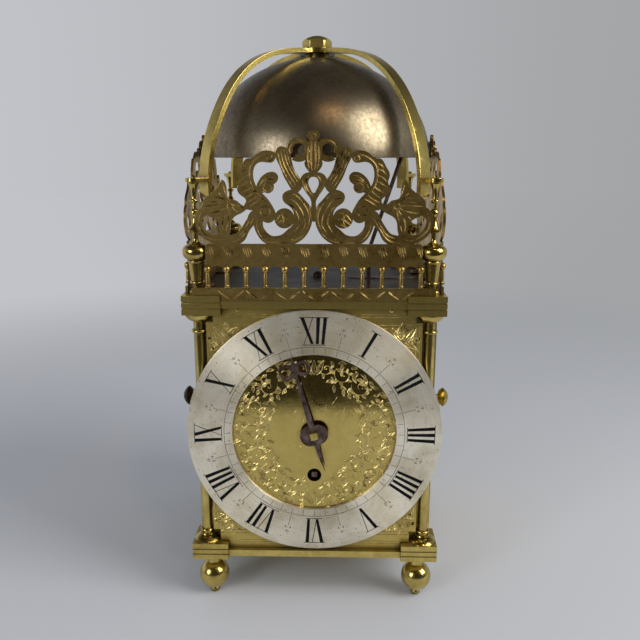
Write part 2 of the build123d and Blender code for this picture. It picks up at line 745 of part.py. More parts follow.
# Half the strap's arch on its centre line, as (distance out along the diagonal, Z),
# with its slope at each point.
strap_line = [(0, strap_top_z)]
for share, fall in ((0.2543, 1.4), (0.4798, 6.3), (0.6947, 18.6), (0.8904, 44.3), (0.9819, 68.0)):
    strap_line.append((share * strap_foot_out, strap_top_z - fall))
strap_line.append((strap_foot_out, strap_foot_z))
strap_slopes = [(1, 0), (1, -0.13), (1, -0.4), (1, -0.9), (1, -1.95), (1, -6), (1, -40)]


def strap_edge(away):
    """The strap's centre line moved outwards by a distance, from one foot to the other."""
    right = []
    for (out, z), (run, rise) in zip(strap_line, strap_slopes):
        size = hypot(run, rise)
        right.append((out - away * rise / size, z + away * run / size))
    left = [(-out, z) for out, z in reversed(right[1:])]
    return left + right


with BuildPart() as bell_strap:
    for turn in (45, 135):
        across = Vector(cos(radians(turn)), sin(radians(turn)), 0)
        with BuildSketch(Plane(origin=(0, 0, 0), x_dir=across, z_dir=across.cross(Vector(0, 0, 1)))):
            with BuildLine():
                outer = Spline(*strap_edge(strap_thickness / 2))
                inner = Spline(*strap_edge(-strap_thickness / 2))
                Line(outer @ 0, inner @ 0)
                Line(outer @ 1, inner @ 1)
            make_face()
        extrude(amount=strap_width / 2, both=True)
        with BuildSketch(Plane.XY.offset(cup_z)):
            for way in sides:
                with Locations(across * (way * (strap_foot_out + finial_out) / 2)):
                    Rectangle(finial_out - strap_foot_out, strap_width, rotation=turn)
                with Locations(across * (way * finial_out)):
                    Circle(strap_width / 2)
        extrude(amount=strap_lug)
    with BuildSketch(Plane.XY.offset(nut_low)):
        Circle(boss_radius)
    extrude(amount=-strap_thickness)
    # the boss lies flat on the spacer
    with BuildSketch(Plane.XY.offset(nut_low - strap_thickness)):
        Circle(boss_radius)
    extrude(amount=-strap_thickness / 2, mode=Mode.SUBTRACT)
    with BuildSketch(Plane.XY.offset(cup_z)):
        Circle(bolt_radius + fit)
        with GridLocations(2 * pillar_axis, 2 * pillar_axis, 2, 2):
            Circle(spike_radius + fit)
    extrude(amount=nut_low + nut_height - cup_z, mode=Mode.SUBTRACT)
keep(bell_strap, "bell_strap")

with BuildPart() as bell_spacer:
    spun(
        (0, 0, crown), (0, 0, 1),
        (bolt_radius + fit, 0), (spacer_radius, 0), (spacer_radius, spacer_height),
        (bolt_radius + fit, spacer_height),
    )
keep(bell_spacer, "bell_spacer")

with BuildPart() as bell_leather:
    spun(
        (0, 0, leather_top), (0, 0, 1),
        (bolt_radius + fit, -leather), (leather_radius, -leather), (leather_radius, 0),
        (bolt_radius + fit, 0),
    )
keep(bell_leather, "bell_leather")

with BuildPart() as bell_bolt:
    spun(
        (0, 0, leather_top - leather), (0, 0, 1),
        (0, -3.4), (4.6, -3.4), (5.4, -2.6), (5.4, 0), (bolt_radius, 0),
        (bolt_radius, bolt_length), (0, bolt_length),
    )
keep(bell_bolt, "bell_bolt")

with BuildPart() as bell_nut:
    with BuildSketch(Plane.XY.offset(nut_low)):
        RegularPolygon(nut_across / 2, 6, major_radius=False)
    extrude(amount=nut_height + nut_dome)
    with BuildPart(mode=Mode.INTERSECT):
        spun(
            (0, 0, nut_low), (0, 0, 1),
            (0, 0), (nut_across / 2 + 0.2, 0), (nut_across / 2 + 1.0, 0.7),
            (nut_across / 2 + 1.0, nut_height - 0.9), (nut_across / 2 + 0.2, nut_height),
            cap(nut_across / 2 + 0.2, nut_height, nut_dome),
        )
    with BuildSketch(Plane.XY.offset(nut_low)):
        Circle(bolt_radius + fit)
    extrude(amount=nut_height, mode=Mode.SUBTRACT)
keep(bell_nut, "bell_nut")


# ---------------------------------------------------------------- dial
def stepped_sheet():
    """A sheet between the two plates, stepped to clear the blocks and the pillars' turnings."""
    with BuildSketch(mode=Mode.PRIVATE) as shape:
        for half, low, high in (
            (sheet_half, pillar_low + 8.4, pillar_top - 5.2),
            (sheet_half - 4.5, pillar_low + move_gap, pillar_top - move_gap),
            (block_inner - move_gap, bottom_plate_top + seat_gap, top_plate_low - seat_gap),
        ):
            with Locations((0, (low + high) / 2)):
                Rectangle(2 * half, high - low)
        with Locations((0, bottom_plate_top + seat_gap)):
            with GridLocations(2 * tenon_x, 1, 2, 1):
                Rectangle(tenon_width, 2 * tenon_length)
        with Locations((-lug_x, rivet_z), (lug_x, rivet_z)):
            Circle(rivet_radius + fit, mode=Mode.SUBTRACT)
    return shape.sketch


with BuildPart() as dial_plate:
    with BuildSketch(facing(-dial_back)):
        add(stepped_sheet())
        with Locations((0, dial_z)):
            Circle(pipe_outer + move_gap, mode=Mode.SUBTRACT)
            with PolarLocations(stud_circle, 4, 45):
                Circle(stud_radius + fit, mode=Mode.SUBTRACT)
        with Locations((0, winding_z)):
            Circle(winding_hole, mode=Mode.SUBTRACT)
    extrude(amount=sheet)
    with BuildSketch(facing(-dial_back)):
        with Locations(*dial_feet_at):
            Circle(foot_pin + fit)
    extrude(amount=foot_pin_length + fit, mode=Mode.SUBTRACT)
keep(dial_plate, "dial_plate")

with BuildPart() as back_plate:
    with BuildSketch(facing(dial_face)):
        add(stepped_sheet())
        with Locations((0, dial_z)):
            Circle(stud_radius + fit, mode=Mode.SUBTRACT)
    extrude(amount=sheet)
keep(back_plate, "back_plate")

with BuildPart() as back_knob:
    spun(
        (0, dial_face, dial_z), (0, 1, 0),
        (0, -sheet), (stud_radius, -sheet), (stud_radius, 0), (3.2, 0), (3.2, 0.6),
        (1.9, 1.6, 2.2, 2.6), (4.6, 3.2, rear_knob_radius, 4.2),
        cap(rear_knob_radius, 4.2, collet_face - dial_face - 4.2),
    )
keep(back_knob, "back_knob")

with BuildPart() as plate_lugs:
    for x in (-lug_x, lug_x):
        for way in sides:
            with BuildSketch(Plane.XY.offset(top_plate_low)):
                with Locations((x, way * (dial_back - lug_reach / 2))):
                    Rectangle(lug_width, lug_reach)
            extrude(amount=-lug_leaf)
            with BuildSketch(Plane.XY.offset(top_plate_low)):
                with Locations((x, way * (dial_back - lug_leaf / 2))):
                    Rectangle(lug_width, lug_leaf)
            extrude(amount=-lug_reach)
            with BuildSketch(facing(way * dial_back, x, rivet_z)):
                Circle(rivet_radius + fit)
            extrude(amount=way * lug_leaf, mode=Mode.SUBTRACT)
keep(plate_lugs, "plate_lugs")

with BuildPart() as lug_rivets:
    for x in (-lug_x, lug_x):
        for way in sides:
            spun(
                (x, way * dial_face, rivet_z), (0, way, 0),
                (0, -sheet - lug_leaf), (rivet_radius, -sheet - lug_leaf), (rivet_radius, 0),
                (1.35, 0), cap(1.35, 0, 0.6),
            )
keep(lug_rivets, "lug_rivets")


# Numerals are drawn between two radii, with each stroke pointing at the dial's middle.
def on_ring(hour, across, radius):
    """A point on the chapter ring, so far clockwise of an hour and at a radius."""
    angle = radians(90 - 30 * hour) - across / numeral_middle
    return (radius * cos(angle), radius * sin(angle))


def inked(hour, *points):
    """A four-sided mark through points given as (distance clockwise, radius)."""
    return Polygon(*[on_ring(hour, u, r) for u, r in points], align=None, mode=Mode.PRIVATE)


def stroke(hour, top, foot, half, high=numeral_high, low=numeral_low):
    """A letter's stroke, from its middle at the top to its middle at the foot."""
    return inked(hour, (top - half, high), (top + half, high), (foot + half, low), (foot - half, low))


letter_widths = {"I": 3.9, "V": 8.6, "X": 8.8}
numerals = ("XII", "I", "II", "III", "IIII", "V", "VI", "VII", "VIII", "IX", "X", "XI")
marks = []
for hour, numeral in enumerate(numerals):
    wide = sum(letter_widths[letter] for letter in numeral)
    at = -wide / 2
    for letter in numeral:
        middle = at + letter_widths[letter] / 2
        at += letter_widths[letter]
        if letter == "I":
            marks.append(stroke(hour, middle, middle, thick / 2))
        if letter == "V":
            marks.append(stroke(hour, middle - 2.5, middle, thick / 2))
            marks.append(stroke(hour, middle + 3.2, middle + 0.4, hair / 2))
        if letter == "X":
            marks.append(stroke(hour, middle - 2.7, middle + 2.7, thick / 2))
            marks.append(stroke(hour, middle + 3.3, middle - 3.3, hair / 2))
    half = wide / 2 + (1.2 if numeral == "I" else 0.1)
    marks.append(stroke(hour, 0, 0, half, numeral_high + hair, numeral_high))
    if numeral != "V":
        marks.append(stroke(hour, 0, 0, half, numeral_low, numeral_low - hair))
    # the mark at the half hour
    marks.append(stroke(hour + 0.5, 0, 0, hair / 2, numeral_middle - 1.7, numeral_low - 1.2))
    for u, rise in ((0, 2.5), (-1.6, -0.5), (1.6, -0.5)):
        r = numeral_middle + rise
        marks.append(inked(hour + 0.5, (u, r + 1.3), (u + 0.55, r), (u, r - 1.3), (u - 0.55, r)))

with BuildPart() as chapter_ring:
    with BuildSketch(facing(-dial_face, 0, dial_z)):
        Circle(ring_radius)
        Circle(ring_inner, mode=Mode.SUBTRACT)
    extrude(amount=ring_thickness)
    with BuildSketch(facing(-dial_face, 0, dial_z)):
        with PolarLocations(stud_circle, 4, 45):
            Circle(stud_radius)
    extrude(amount=-sheet)
    with BuildSketch(facing(-ring_face, 0, dial_z)):
        add(marks)
    extrude(amount=-inlay_depth, mode=Mode.SUBTRACT)
keep(chapter_ring, "chapter_ring")

with BuildPart() as chapter_numerals:
    with BuildSketch(facing(-ring_face, 0, dial_z)):
        add(marks)
    extrude(amount=-inlay_depth)
keep(chapter_numerals, "chapter_numerals")

# ---------------------------------------------------------------- hand
leaning = Plane(
    origin=(0, -hand_back, dial_z),
    x_dir=(cos(radians(hand_angle)), 0, sin(radians(hand_angle))), z_dir=(0, -1, 0),
)
with BuildPart() as hour_hand:
    with BuildSketch(leaning):
        with Locations((-2.4, 0), (2.4, 0)):
            Circle(6.7)
        Polygon(
            (-1.9, 5.0), (-1.1, hand_reach - 14), (-0.9, hand_reach - 7), (-1.7, hand_reach - 5),
            (0, hand_reach), (1.7, hand_reach - 5), (0.9, hand_reach - 7), (1.1, hand_reach - 14),
            (1.9, 5.0), align=None,
        )
        Polygon(
            (-1.7, -5.0), (-1.2, -15.0), (0.3, -hand_tail), (0.9, -15.0), (1.7, -5.0), align=None
        )
        with Locations((-5.4, hand_reach - 8.5), (5.4, hand_reach - 8.5)):
            Circle(4.9)
        with Locations((-5.4, hand_reach - 8.5), (5.4, hand_reach - 8.5)):
            Circle(3.1, mode=Mode.SUBTRACT)
        Circle(pipe_end + fit, mode=Mode.SUBTRACT)
    extrude(amount=hand_thickness)
keep(hour_hand, "hour_hand")

with BuildPart() as hand_collet:
    with BuildSketch(leaning.offset(hand_thickness)):
        Rectangle(2 * collet_half, 2 * collet_half)
    extrude(amount=collet_rise)
    rod_y(centre_at, pipe_bore, hand_face, hand_face - collet_plug)
keep(hand_collet, "hand_collet")

# ---------------------------------------------------------------- doors
for name, way in (("left", -1), ("right", 1)):
    with BuildPart() as door:
        with BuildSketch(Plane(origin=(way * door_inner, 0, 0), x_dir=(0, way, 0), z_dir=(way, 0, 0))):
            with Locations((way * (hinge_y - door_half) / 2, (pillar_low + pillar_top) / 2)):
                Rectangle(door_half + hinge_y, pillar_length - 2 * move_gap)
            with Locations((way * knob_y, knob_z)):
                Circle(knob_pin + fit, mode=Mode.SUBTRACT)
        extrude(amount=door_thickness)
        with BuildSketch(Plane.XY.offset(pillar_low - pintle_length)):
            with Locations((way * hinge_x, hinge_y)):
                Circle(pintle_radius)
        extrude(amount=pillar_length + 2 * pintle_length)
    keep(door, name + "_door")

    with BuildPart() as knob:
        spun(
            (way * door_outer, knob_y, knob_z), (way, 0, 0),
            (0, -door_thickness), (knob_pin, -door_thickness), (knob_pin, 0), (3.6, 0),
            (3.6, 0.8), (1.9, 2.0, 2.3, 4.6), (5.4, 6.2, knob_radius, 8.0),
            cap(knob_radius, 8.0, knob_reach - 8.0),
        )
    keep(knob, name + "_door_knob")

# ---------------------------------------------------------------- movement frame
with BuildPart() as movement_front_plate:
    with BuildSketch(facing(-front_inside)):
        with Locations((0, (movement_low + movement_high) / 2)):
            Rectangle(2 * movement_half, movement_high - movement_low)
        for holes_at, radius in (
            ([centre_at], front_journal), ([barrel_at], barrel_journal),
            ([third_at, escape_at, hammer_at, anchor_at], pivot),
            (movement_pillars_at + [click_at], screw), (dial_feet_at, foot_pin),
        ):
            with Locations(*holes_at):
                Circle(radius + fit, mode=Mode.SUBTRACT)
    extrude(amount=plate)
    # the post that the minute wheel turns on
    rod_y(minute_at, minute_post, minute_pinion_front + 0.6, movement_face)
keep(movement_front_plate, "movement_front_plate")

with BuildPart() as movement_back_plate:
    with BuildSketch(facing(-movement_back)):
        with Locations((0, (movement_low + movement_high) / 2)):
            Rectangle(2 * movement_half, movement_high - movement_low)
        for holes_at, radius in (
            ([centre_at, third_at, escape_at, hammer_at], pivot), ([barrel_at], barrel_pivot),
            ([anchor_at], arbor_radius + move_gap),
            (movement_pillars_at + cock_screws_at + bracket_screws_at, screw),
        ):
            with Locations(*holes_at):
                Circle(radius + fit, mode=Mode.SUBTRACT)
    extrude(amount=plate)
keep(movement_back_plate, "movement_back_plate")

with BuildPart() as movement_pillars:
    for at in movement_pillars_at:
        spun(
            (at[0], -front_inside, at[1]), (0, 1, 0),
            (0, 0), (3.4, 0), (3.4, 3.0), (2.4, 4.6), (2.4, 8.0),
            (3.6, movement_depth / 2, 2.4, movement_depth - 8.0), (2.4, movement_depth - 4.6),
            (3.4, movement_depth - 3.0), (3.4, movement_depth), (0, movement_depth),
        )
        rod_y(at, screw + fit, front_inside, front_inside - screw_depth, Mode.SUBTRACT)
        rod_y(at, screw + fit, back_inside + screw_depth, back_inside, Mode.SUBTRACT)
keep(movement_pillars, "movement_pillars")


def screw_y(at, face, way, length, head):
    """Adds a screw whose head lies on a face and whose shank goes in along Y."""
    spun(
        (at[0], face, at[1]), (0, way, 0),
        (0, -length), (screw, -length), (screw, 0), (head, 0), (head, 0.8),
        (head - 0.4, 1.2), (0, 1.2),
    )


with BuildPart() as movement_screws:
    for at in movement_pillars_at:
        screw_y(at, -movement_face, -1, plate + screw_depth - move_gap, 2.6)
        screw_y(at, -movement_back, 1, plate + screw_depth - move_gap, 2.6)
    for at in cock_screws_at + bracket_screws_at:
        screw_y(at, leaf - movement_back, 1, leaf + plate, 2.1)
    screw_y(click_at, -ratchet_front - fit, -1, ratchet_front + fit - front_inside, 2.2)
keep(movement_screws, "movement_screws")

with BuildPart() as dial_feet:
    for at in dial_feet_at:
        spun(
            (at[0], -dial_back, at[1]), (0, 1, 0),
            (0, -foot_pin_length), (foot_pin, -foot_pin_length), (foot_pin, 0), (3.0, 0),
            (3.0, dial_back - movement_face), (foot_pin, dial_back - movement_face),
            (foot_pin, dial_back - front_inside), (0, dial_back - front_inside),
        )
keep(dial_feet, "dial_feet")

with BuildPart() as movement_bracket:
    with BuildSketch(Plane.YZ):
        Polygon(
            (-movement_back, bracket_low), (-movement_back, top_plate_low),
            (bracket_y + 6, top_plate_low), (bracket_y + 6, top_plate_low - leaf),
            (leaf - movement_back, top_plate_low - leaf), (leaf - movement_back, bracket_low),
            align=None,
        )
    extrude(amount=bracket_half, both=True)
    with BuildSketch(Plane.XY.offset(top_plate_low)):
        with Locations((0, bracket_y)):
            Circle(bracket_screw_radius + fit)
    extrude(amount=-leaf, mode=Mode.SUBTRACT)
    for at in bracket_screws_at:
        rod_y(at, screw + fit, movement_back, movement_back - leaf, Mode.SUBTRACT)
keep(movement_bracket, "movement_bracket")

with BuildPart() as bracket_screw:
    spun(
        (0, bracket_y, top_plate_top), (0, 0, 1),
        (0, -plate_thickness - leaf - 1), (bracket_screw_radius, -plate_thickness - leaf - 1),
        (bracket_screw_radius, 0), (3.3, 0), (3.3, 3.6), cap(3.3, 3.6, 1.4),
    )
keep(bracket_screw, "bracket_screw")

with BuildPart() as back_cock:
    with BuildSketch(facing(cock_reach, *anchor_at)):
        Rectangle(2 * cock_half, 2 * cock_rise)
        Circle(pivot + fit, mode=Mode.SUBTRACT)
    extrude(amount=plate)
    for way in sides:
        with BuildSketch(facing(cock_reach, way * (cock_half - 1.2), anchor_at[1])):
            Rectangle(2.4, 2 * cock_rise)
        extrude(amount=cock_reach + movement_back)
        with BuildSketch(facing(-movement_back, way * (cock_half + cock_foot / 2), anchor_at[1])):
            Rectangle(cock_foot, 2 * cock_rise)
        extrude(amount=-leaf)
    for at in cock_screws_at:
        rod_y(at, screw + fit, movement_back, movement_back - leaf, Mode.SUBTRACT)
keep(back_cock, "back_cock")


# ---------------------------------------------------------------- going train
def arbor(at, *steps):
    """Adds an arbor between the plates: steps of (radius, distance in front of the middle)."""
    front, back = steps[0][1], steps[-1][1]
    spun(
        (at[0], -front, at[1]), (0, 1, 0),
        (0, 0), *[(radius, front - y) for radius, y in steps], (0, front - back),
    )


def seen_from(start, end):
    """The angle at which one arbor sees another."""
    return degrees(atan2(end[1] - start[1], end[0] - start[0]))


def gap_to(teeth, at, other):
    """First angle of a pinion whose gap, not its tooth, faces another arbor."""
    return seen_from(at, other) + 180 / teeth


with BuildPart() as spring_barrel:
    teeth = wheel_points(great_teeth, great_module, seen_from(barrel_at, centre_at))
    toothed(teeth, barrel_at, great_front, barrel_front)
    rod_y(barrel_at, barrel_radius, barrel_front, barrel_back)
    rod_y(
        barrel_at, barrel_radius - barrel_wall, barrel_front, barrel_back + barrel_wall,
        Mode.SUBTRACT,
    )
    rod_y(barrel_at, barrel_journal + fit, great_front, barrel_back, Mode.SUBTRACT)
keep(spring_barrel, "spring_barrel")

# The mainspring is a run of half turns, each a little wider than the one before.
with BuildPart() as mainspring:
    step = (barrel_radius - barrel_wall - spring_strip - spring_start) / (2 * spring_turns)
    runs = []
    for start in (spring_start, spring_start + spring_strip):
        run = []
        for n in range(2 * spring_turns):
            radius = start + (n + 0.5) * step
            way = 1 if n % 2 == 0 else -1
            run.append((-way * step / 2, way * radius, -way * (radius + step / 2), 0))
        runs.append(run)
    with BuildSketch(facing(-barrel_front + spring_gap, *barrel_at)):
        with BuildLine():
            for start, run in zip((spring_start, spring_start + spring_strip), runs):
                at = (start, 0)
                for middle_x, middle_y, end_x, end_y in run:
                    ThreePointArc(at, (middle_x, middle_y), (end_x, end_y))
                    at = (end_x, end_y)
            Line((spring_start, 0), (spring_start + spring_strip, 0))
            Line(runs[0][-1][2:], runs[1][-1][2:])
        make_face()
    extrude(amount=-(barrel_front - barrel_back - barrel_wall - 2 * spring_gap))
keep(mainspring, "mainspring")

with BuildPart() as barrel_arbor:
    core_front = barrel_front - endshake
    core_back = barrel_back + barrel_wall + endshake
    arbor(
        barrel_at,
        (barrel_journal, ratchet_back), (barrel_journal, core_front), (barrel_core, core_front),
        (barrel_core, core_back), (barrel_journal, core_back),
        (barrel_journal, back_inside + endshake), (barrel_pivot, back_inside + endshake),
        (barrel_pivot, back_inside - pivot_length),
    )
    with BuildSketch(facing(-ratchet_back, *barrel_at)):
        Rectangle(winding_square, winding_square)
    extrude(amount=square_front - ratchet_back)
keep(barrel_arbor, "barrel_arbor")

with BuildPart() as ratchet_wheel:
    points = []
    for n in range(ratchet_teeth):
        foot_angle = radians(click_angle + 360 * (n - 1) / ratchet_teeth)
        tip_angle = radians(click_angle + 360 * n / ratchet_teeth)
        root = ratchet_radius - ratchet_depth
        points.append((root * cos(foot_angle), root * sin(foot_angle)))
        points.append((ratchet_radius * cos(tip_angle), ratchet_radius * sin(tip_angle)))
    toothed(points, barrel_at, ratchet_front, ratchet_back)
    with BuildSketch(facing(-ratchet_back, *barrel_at)):
        Rectangle(winding_square + 2 * fit, winding_square + 2 * fit)
    extrude(amount=ratchet_front - ratchet_back, mode=Mode.SUBTRACT)
keep(ratchet_wheel, "ratchet_wheel")

with BuildPart() as click:
    around = [
        (8.5, 1.0), (12.4, 1.0), (15.0, 14.0), (17.9, 40.0), (17.9, 49.0), (13.0, 52.0),
        (12.9, 45.0), (9.95, 14.0), (9.05, 6.5),
    ]
    with BuildSketch(facing(-ratchet_back, *barrel_at)):
        Polygon(
            *[(r * cos(radians(click_angle + a)), r * sin(radians(click_angle + a))) for r, a in around],
            align=None,
        )
        with Locations((click_at[0] - barrel_at[0], click_at[1] - barrel_at[1])):
            Circle(2.6)
            Circle(screw + fit, mode=Mode.SUBTRACT)
    extrude(amount=ratchet_front - ratchet_back)
keep(click, "click")

with BuildPart() as centre_wheel:
    arbor(
        centre_at,
        (front_journal, centre_front), (front_journal, front_inside - endshake),
        (arbor_radius, front_inside - endshake), (arbor_radius, back_inside + endshake),
        (pivot, back_inside + endshake), (pivot, back_inside - pivot_length),
    )
    teeth = pinion_points(centre_leaves, great_module, gap_to(centre_leaves, centre_at, barrel_at))
    toothed(teeth, centre_at, great_front + 1, barrel_front - 1)
    teeth = wheel_points(centre_teeth, centre_module, seen_from(centre_at, third_at))
    toothed(teeth, centre_at, centre_wheel_front, centre_wheel_front - wheel_thick)
    crossings(centre_at, centre_wheel_front, centre_wheel_front - wheel_thick, 5.0, 14.2, 2.6)
    rod_y(centre_at, 3.0, centre_wheel_front + 0.4, centre_wheel_front - wheel_thick - 0.8)
    pin_at = (centre_at[0] + lift_circle, centre_at[1])
    rod_y(pin_at, lift_pin, centre_wheel_front + 2.7, centre_wheel_front)
keep(centre_wheel, "centre_wheel")

with BuildPart() as third_wheel:
    arbor(
        third_at,
        (pivot, front_inside + pivot_length), (pivot, front_inside - endshake),
        (arbor_radius, front_inside - endshake), (arbor_radius, third_pinion_front),
        (third_root, third_pinion_front), (third_root, third_pinion_front - pinion_long),
        (arbor_radius, third_pinion_front - pinion_long), (arbor_radius, back_inside + endshake),
        (pivot, back_inside + endshake), (pivot, back_inside - pivot_length),
    )
    teeth = pinion_points(third_leaves, centre_module, gap_to(third_leaves, third_at, centre_at))
    toothed(teeth, third_at, third_pinion_front, third_pinion_front - pinion_long)
    teeth = wheel_points(third_teeth, third_module, seen_from(third_at, escape_at))
    toothed(teeth, third_at, third_wheel_front, third_wheel_front - wheel_thick)
    crossings(third_at, third_wheel_front, third_wheel_front - wheel_thick, 4.0, 16.4, 2.2)
    rod_y(third_at, 2.6, third_wheel_front + 0.6, third_wheel_front - wheel_thick - 0.8)
keep(third_wheel, "third_wheel")

with BuildPart() as escape_wheel:
    pinion_front = third_wheel_front + 1.6
    arbor(
        escape_at,
        (pivot, front_inside + pivot_length), (pivot, front_inside - endshake),
        (arbor_radius, front_inside - endshake), (arbor_radius, pinion_front),
        (escape_root, pinion_front), (escape_root, pinion_front - pinion_long),
        (arbor_radius, pinion_front - pinion_long), (arbor_radius, back_inside + endshake),
        (pivot, back_inside + endshake), (pivot, back_inside - pivot_length),
    )
    teeth = pinion_points(escape_leaves, third_module, gap_to(escape_leaves, escape_at, third_at))
    toothed(teeth, escape_at, pinion_front, pinion_front - pinion_long)
    points = []
    for n in range(escape_teeth):
        tip_angle = 45 + 3 + 12 * n
        for r, a in ((12.0, -4.6), (escape_radius, -0.5), (escape_radius, 0.5), (12.0, 2.0)):
            points.append((r * cos(radians(tip_angle + a)), r * sin(radians(tip_angle + a))))
    toothed(points, escape_at, escape_front, escape_front - 1.2)
    crossings(escape_at, escape_front, escape_front - 1.2, 3.6, 9.8, 1.8, 0)
    rod_y(escape_at, 2.2, escape_front + 0.8, escape_front - 2.0)
keep(escape_wheel, "escape_wheel")

with BuildPart() as anchor:
    arbor(
        anchor_at,
        (pivot, front_inside + pivot_length), (pivot, front_inside - endshake),
        (arbor_radius, front_inside - endshake), (arbor_radius, -cock_reach + plate + endshake),
        (pivot, -cock_reach + plate + endshake), (pivot, -cock_reach + plate - pivot_length),
    )
    rise = anchor_at[1] - escape_at[1]
    with BuildSketch(facing(-anchor_front, *escape_at)):
        for way in sides:
            with Locations(Location((0, 0, 0), (0, 0, -way * pallet_half_span))):
                Polygon(
                    (-0.25, nib_low), (-1.2, nib_low + 2.4), (-1.6, nib_low + 5.6),
                    (1.6, nib_low + 5.6), (1.2, nib_low + 2.4), (0.25, nib_low), align=None,
                )
            lean = radians(90 - way * (pallet_half_span + 4))
            Polygon(
                ((nib_low + 2.6) * cos(lean), (nib_low + 2.6) * sin(lean)),
                ((nib_low + 6.2) * cos(lean), (nib_low + 6.2) * sin(lean)),
                (0, rise + 3.0), (0, rise - 2.4), align=None,
            )
        with Locations((0, rise)):
            Circle(3.4)
    extrude(amount=-anchor_thick)
keep(anchor, "anchor")

with BuildPart() as pendulum_rod:
    rod_y(anchor_at, 2.8, -pendulum_y + 2.4, -pendulum_y - 2.4)
    spun(
        (anchor_at[0], pendulum_y, anchor_at[1]), (0, 0, -1),
        (0, 0), (1.7, 0), (1.7, 6.0), (rod_radius, 8.0), (rod_radius, pendulum_length + 14.0),
        (0, pendulum_length + 14.0),
    )
    rod_y(anchor_at, arbor_radius, -pendulum_y + 2.4, -pendulum_y - 2.4, Mode.SUBTRACT)
keep(pendulum_rod, "pendulum_rod")

with BuildPart() as pendulum_bob:
    spun(
        (anchor_at[0], pendulum_y, anchor_at[1] - pendulum_length), (0, 0, 1),
        (rod_radius + fit, -8.8), (4.0, -8.8), (bob_radius, -1.0, 3.6, 9.0), (2.6, 11.0),
        (rod_radius + fit, 11.0),
    )
keep(pendulum_bob, "pendulum_bob")

# ---------------------------------------------------------------- motion work
with BuildPart() as cannon_pinion:
    rod_y(centre_at, cannon_pipe, cannon_front, movement_face + 0.4)
    teeth = pinion_points(cannon_leaves, motion_module, gap_to(cannon_leaves, centre_at, minute_at))
    with BuildSketch(facing(-cannon_teeth_front, *centre_at)):
        Circle(4.0)
        Polygon(*teeth, align=None, mode=Mode.SUBTRACT)
    extrude(amount=-(cannon_teeth_front - movement_face), mode=Mode.SUBTRACT)
    toothed(teeth, centre_at, cannon_teeth_front, movement_face + 0.4)
    rod_y(centre_at, front_journal + fit, cannon_front, movement_face, Mode.SUBTRACT)
keep(cannon_pinion, "cannon_pinion")

with BuildPart() as minute_wheel:
    teeth = wheel_points(minute_teeth, motion_module, seen_from(minute_at, centre_at))
    toothed(teeth, minute_at, minute_wheel_front, minute_wheel_front - wheel_thick)
    teeth = pinion_points(minute_leaves, motion_module, gap_to(minute_leaves, minute_at, centre_at))
    toothed(teeth, minute_at, minute_pinion_front, minute_wheel_front)
    rod_y(minute_at, 2.4, minute_wheel_front, movement_face + 0.3)
    rod_y(minute_at, minute_post + fit, minute_pinion_front, movement_face, Mode.SUBTRACT)
keep(minute_wheel, "minute_wheel")

with BuildPart() as hour_wheel:
    teeth = wheel_points(hour_teeth, motion_module, seen_from(centre_at, minute_at))
    toothed(teeth, centre_at, hour_wheel_front, hour_wheel_front - wheel_thick)
    rod_y(centre_at, pipe_outer, hand_back, hour_wheel_front - wheel_thick)
    rod_y(centre_at, pipe_end, hand_face, hand_back)
    rod_y(centre_at, pipe_bore, hand_face, hour_wheel_front - wheel_thick, Mode.SUBTRACT)
keep(hour_wheel, "hour_wheel")

# ---------------------------------------------------------------- hammer
with BuildPart() as hammer:
    arbor(
        hammer_at,
        (pivot, front_inside + pivot_length), (pivot, front_inside - endshake),
        (1.6, front_inside - endshake), (1.6, back_inside + endshake),
        (pivot, back_inside + endshake), (pivot, back_inside - pivot_length),
    )
    rod_y(hammer_at, 3.2, tail_front + 8, tail_front - tail_thick)
    with BuildLine():
        FilletPolyline(
            (hammer_x, hammer_y, hammer_z), (hammer_x, hammer_y, hammer_bend_z),
            (hammer_head_at[0], hammer_head_at[1], hammer_head_at[2]), radius=30,
        )
    with BuildSketch(Plane(origin=(hammer_x, hammer_y, hammer_z), z_dir=(0, 0, 1))):
        Circle(hammer_rod)
    sweep()
    with Locations(hammer_head_at):
        Sphere(hammer_head)
    # the tail that the lifting pin raises
    toe = (tail_toe[0] - hammer_x, tail_toe[1] - hammer_z)
    length = hypot(*toe)
    side = (-toe[1] / length, toe[0] / length)
    with BuildSketch(facing(-tail_front, *hammer_at)):
        Polygon(
            (1.8 * side[0], 1.8 * side[1]),
            (toe[0] + tail_nose * side[0], toe[1] + tail_nose * side[1]),
            (toe[0] - tail_nose * side[0], toe[1] - tail_nose * side[1]),
            (-1.8 * side[0], -1.8 * side[1]), align=None,
        )
        with Locations(toe):
            Circle(tail_nose)
    extrude(amount=-tail_thick)
keep(hammer, "hammer")
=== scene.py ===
import bmesh
import bpy
from cmath import phase, rect
from functools import partial
from math import asin, atan2, cos, degrees, hypot, pi, radians, sin
from mathutils import Matrix, Vector
from random import choice, gauss, seed, uniform


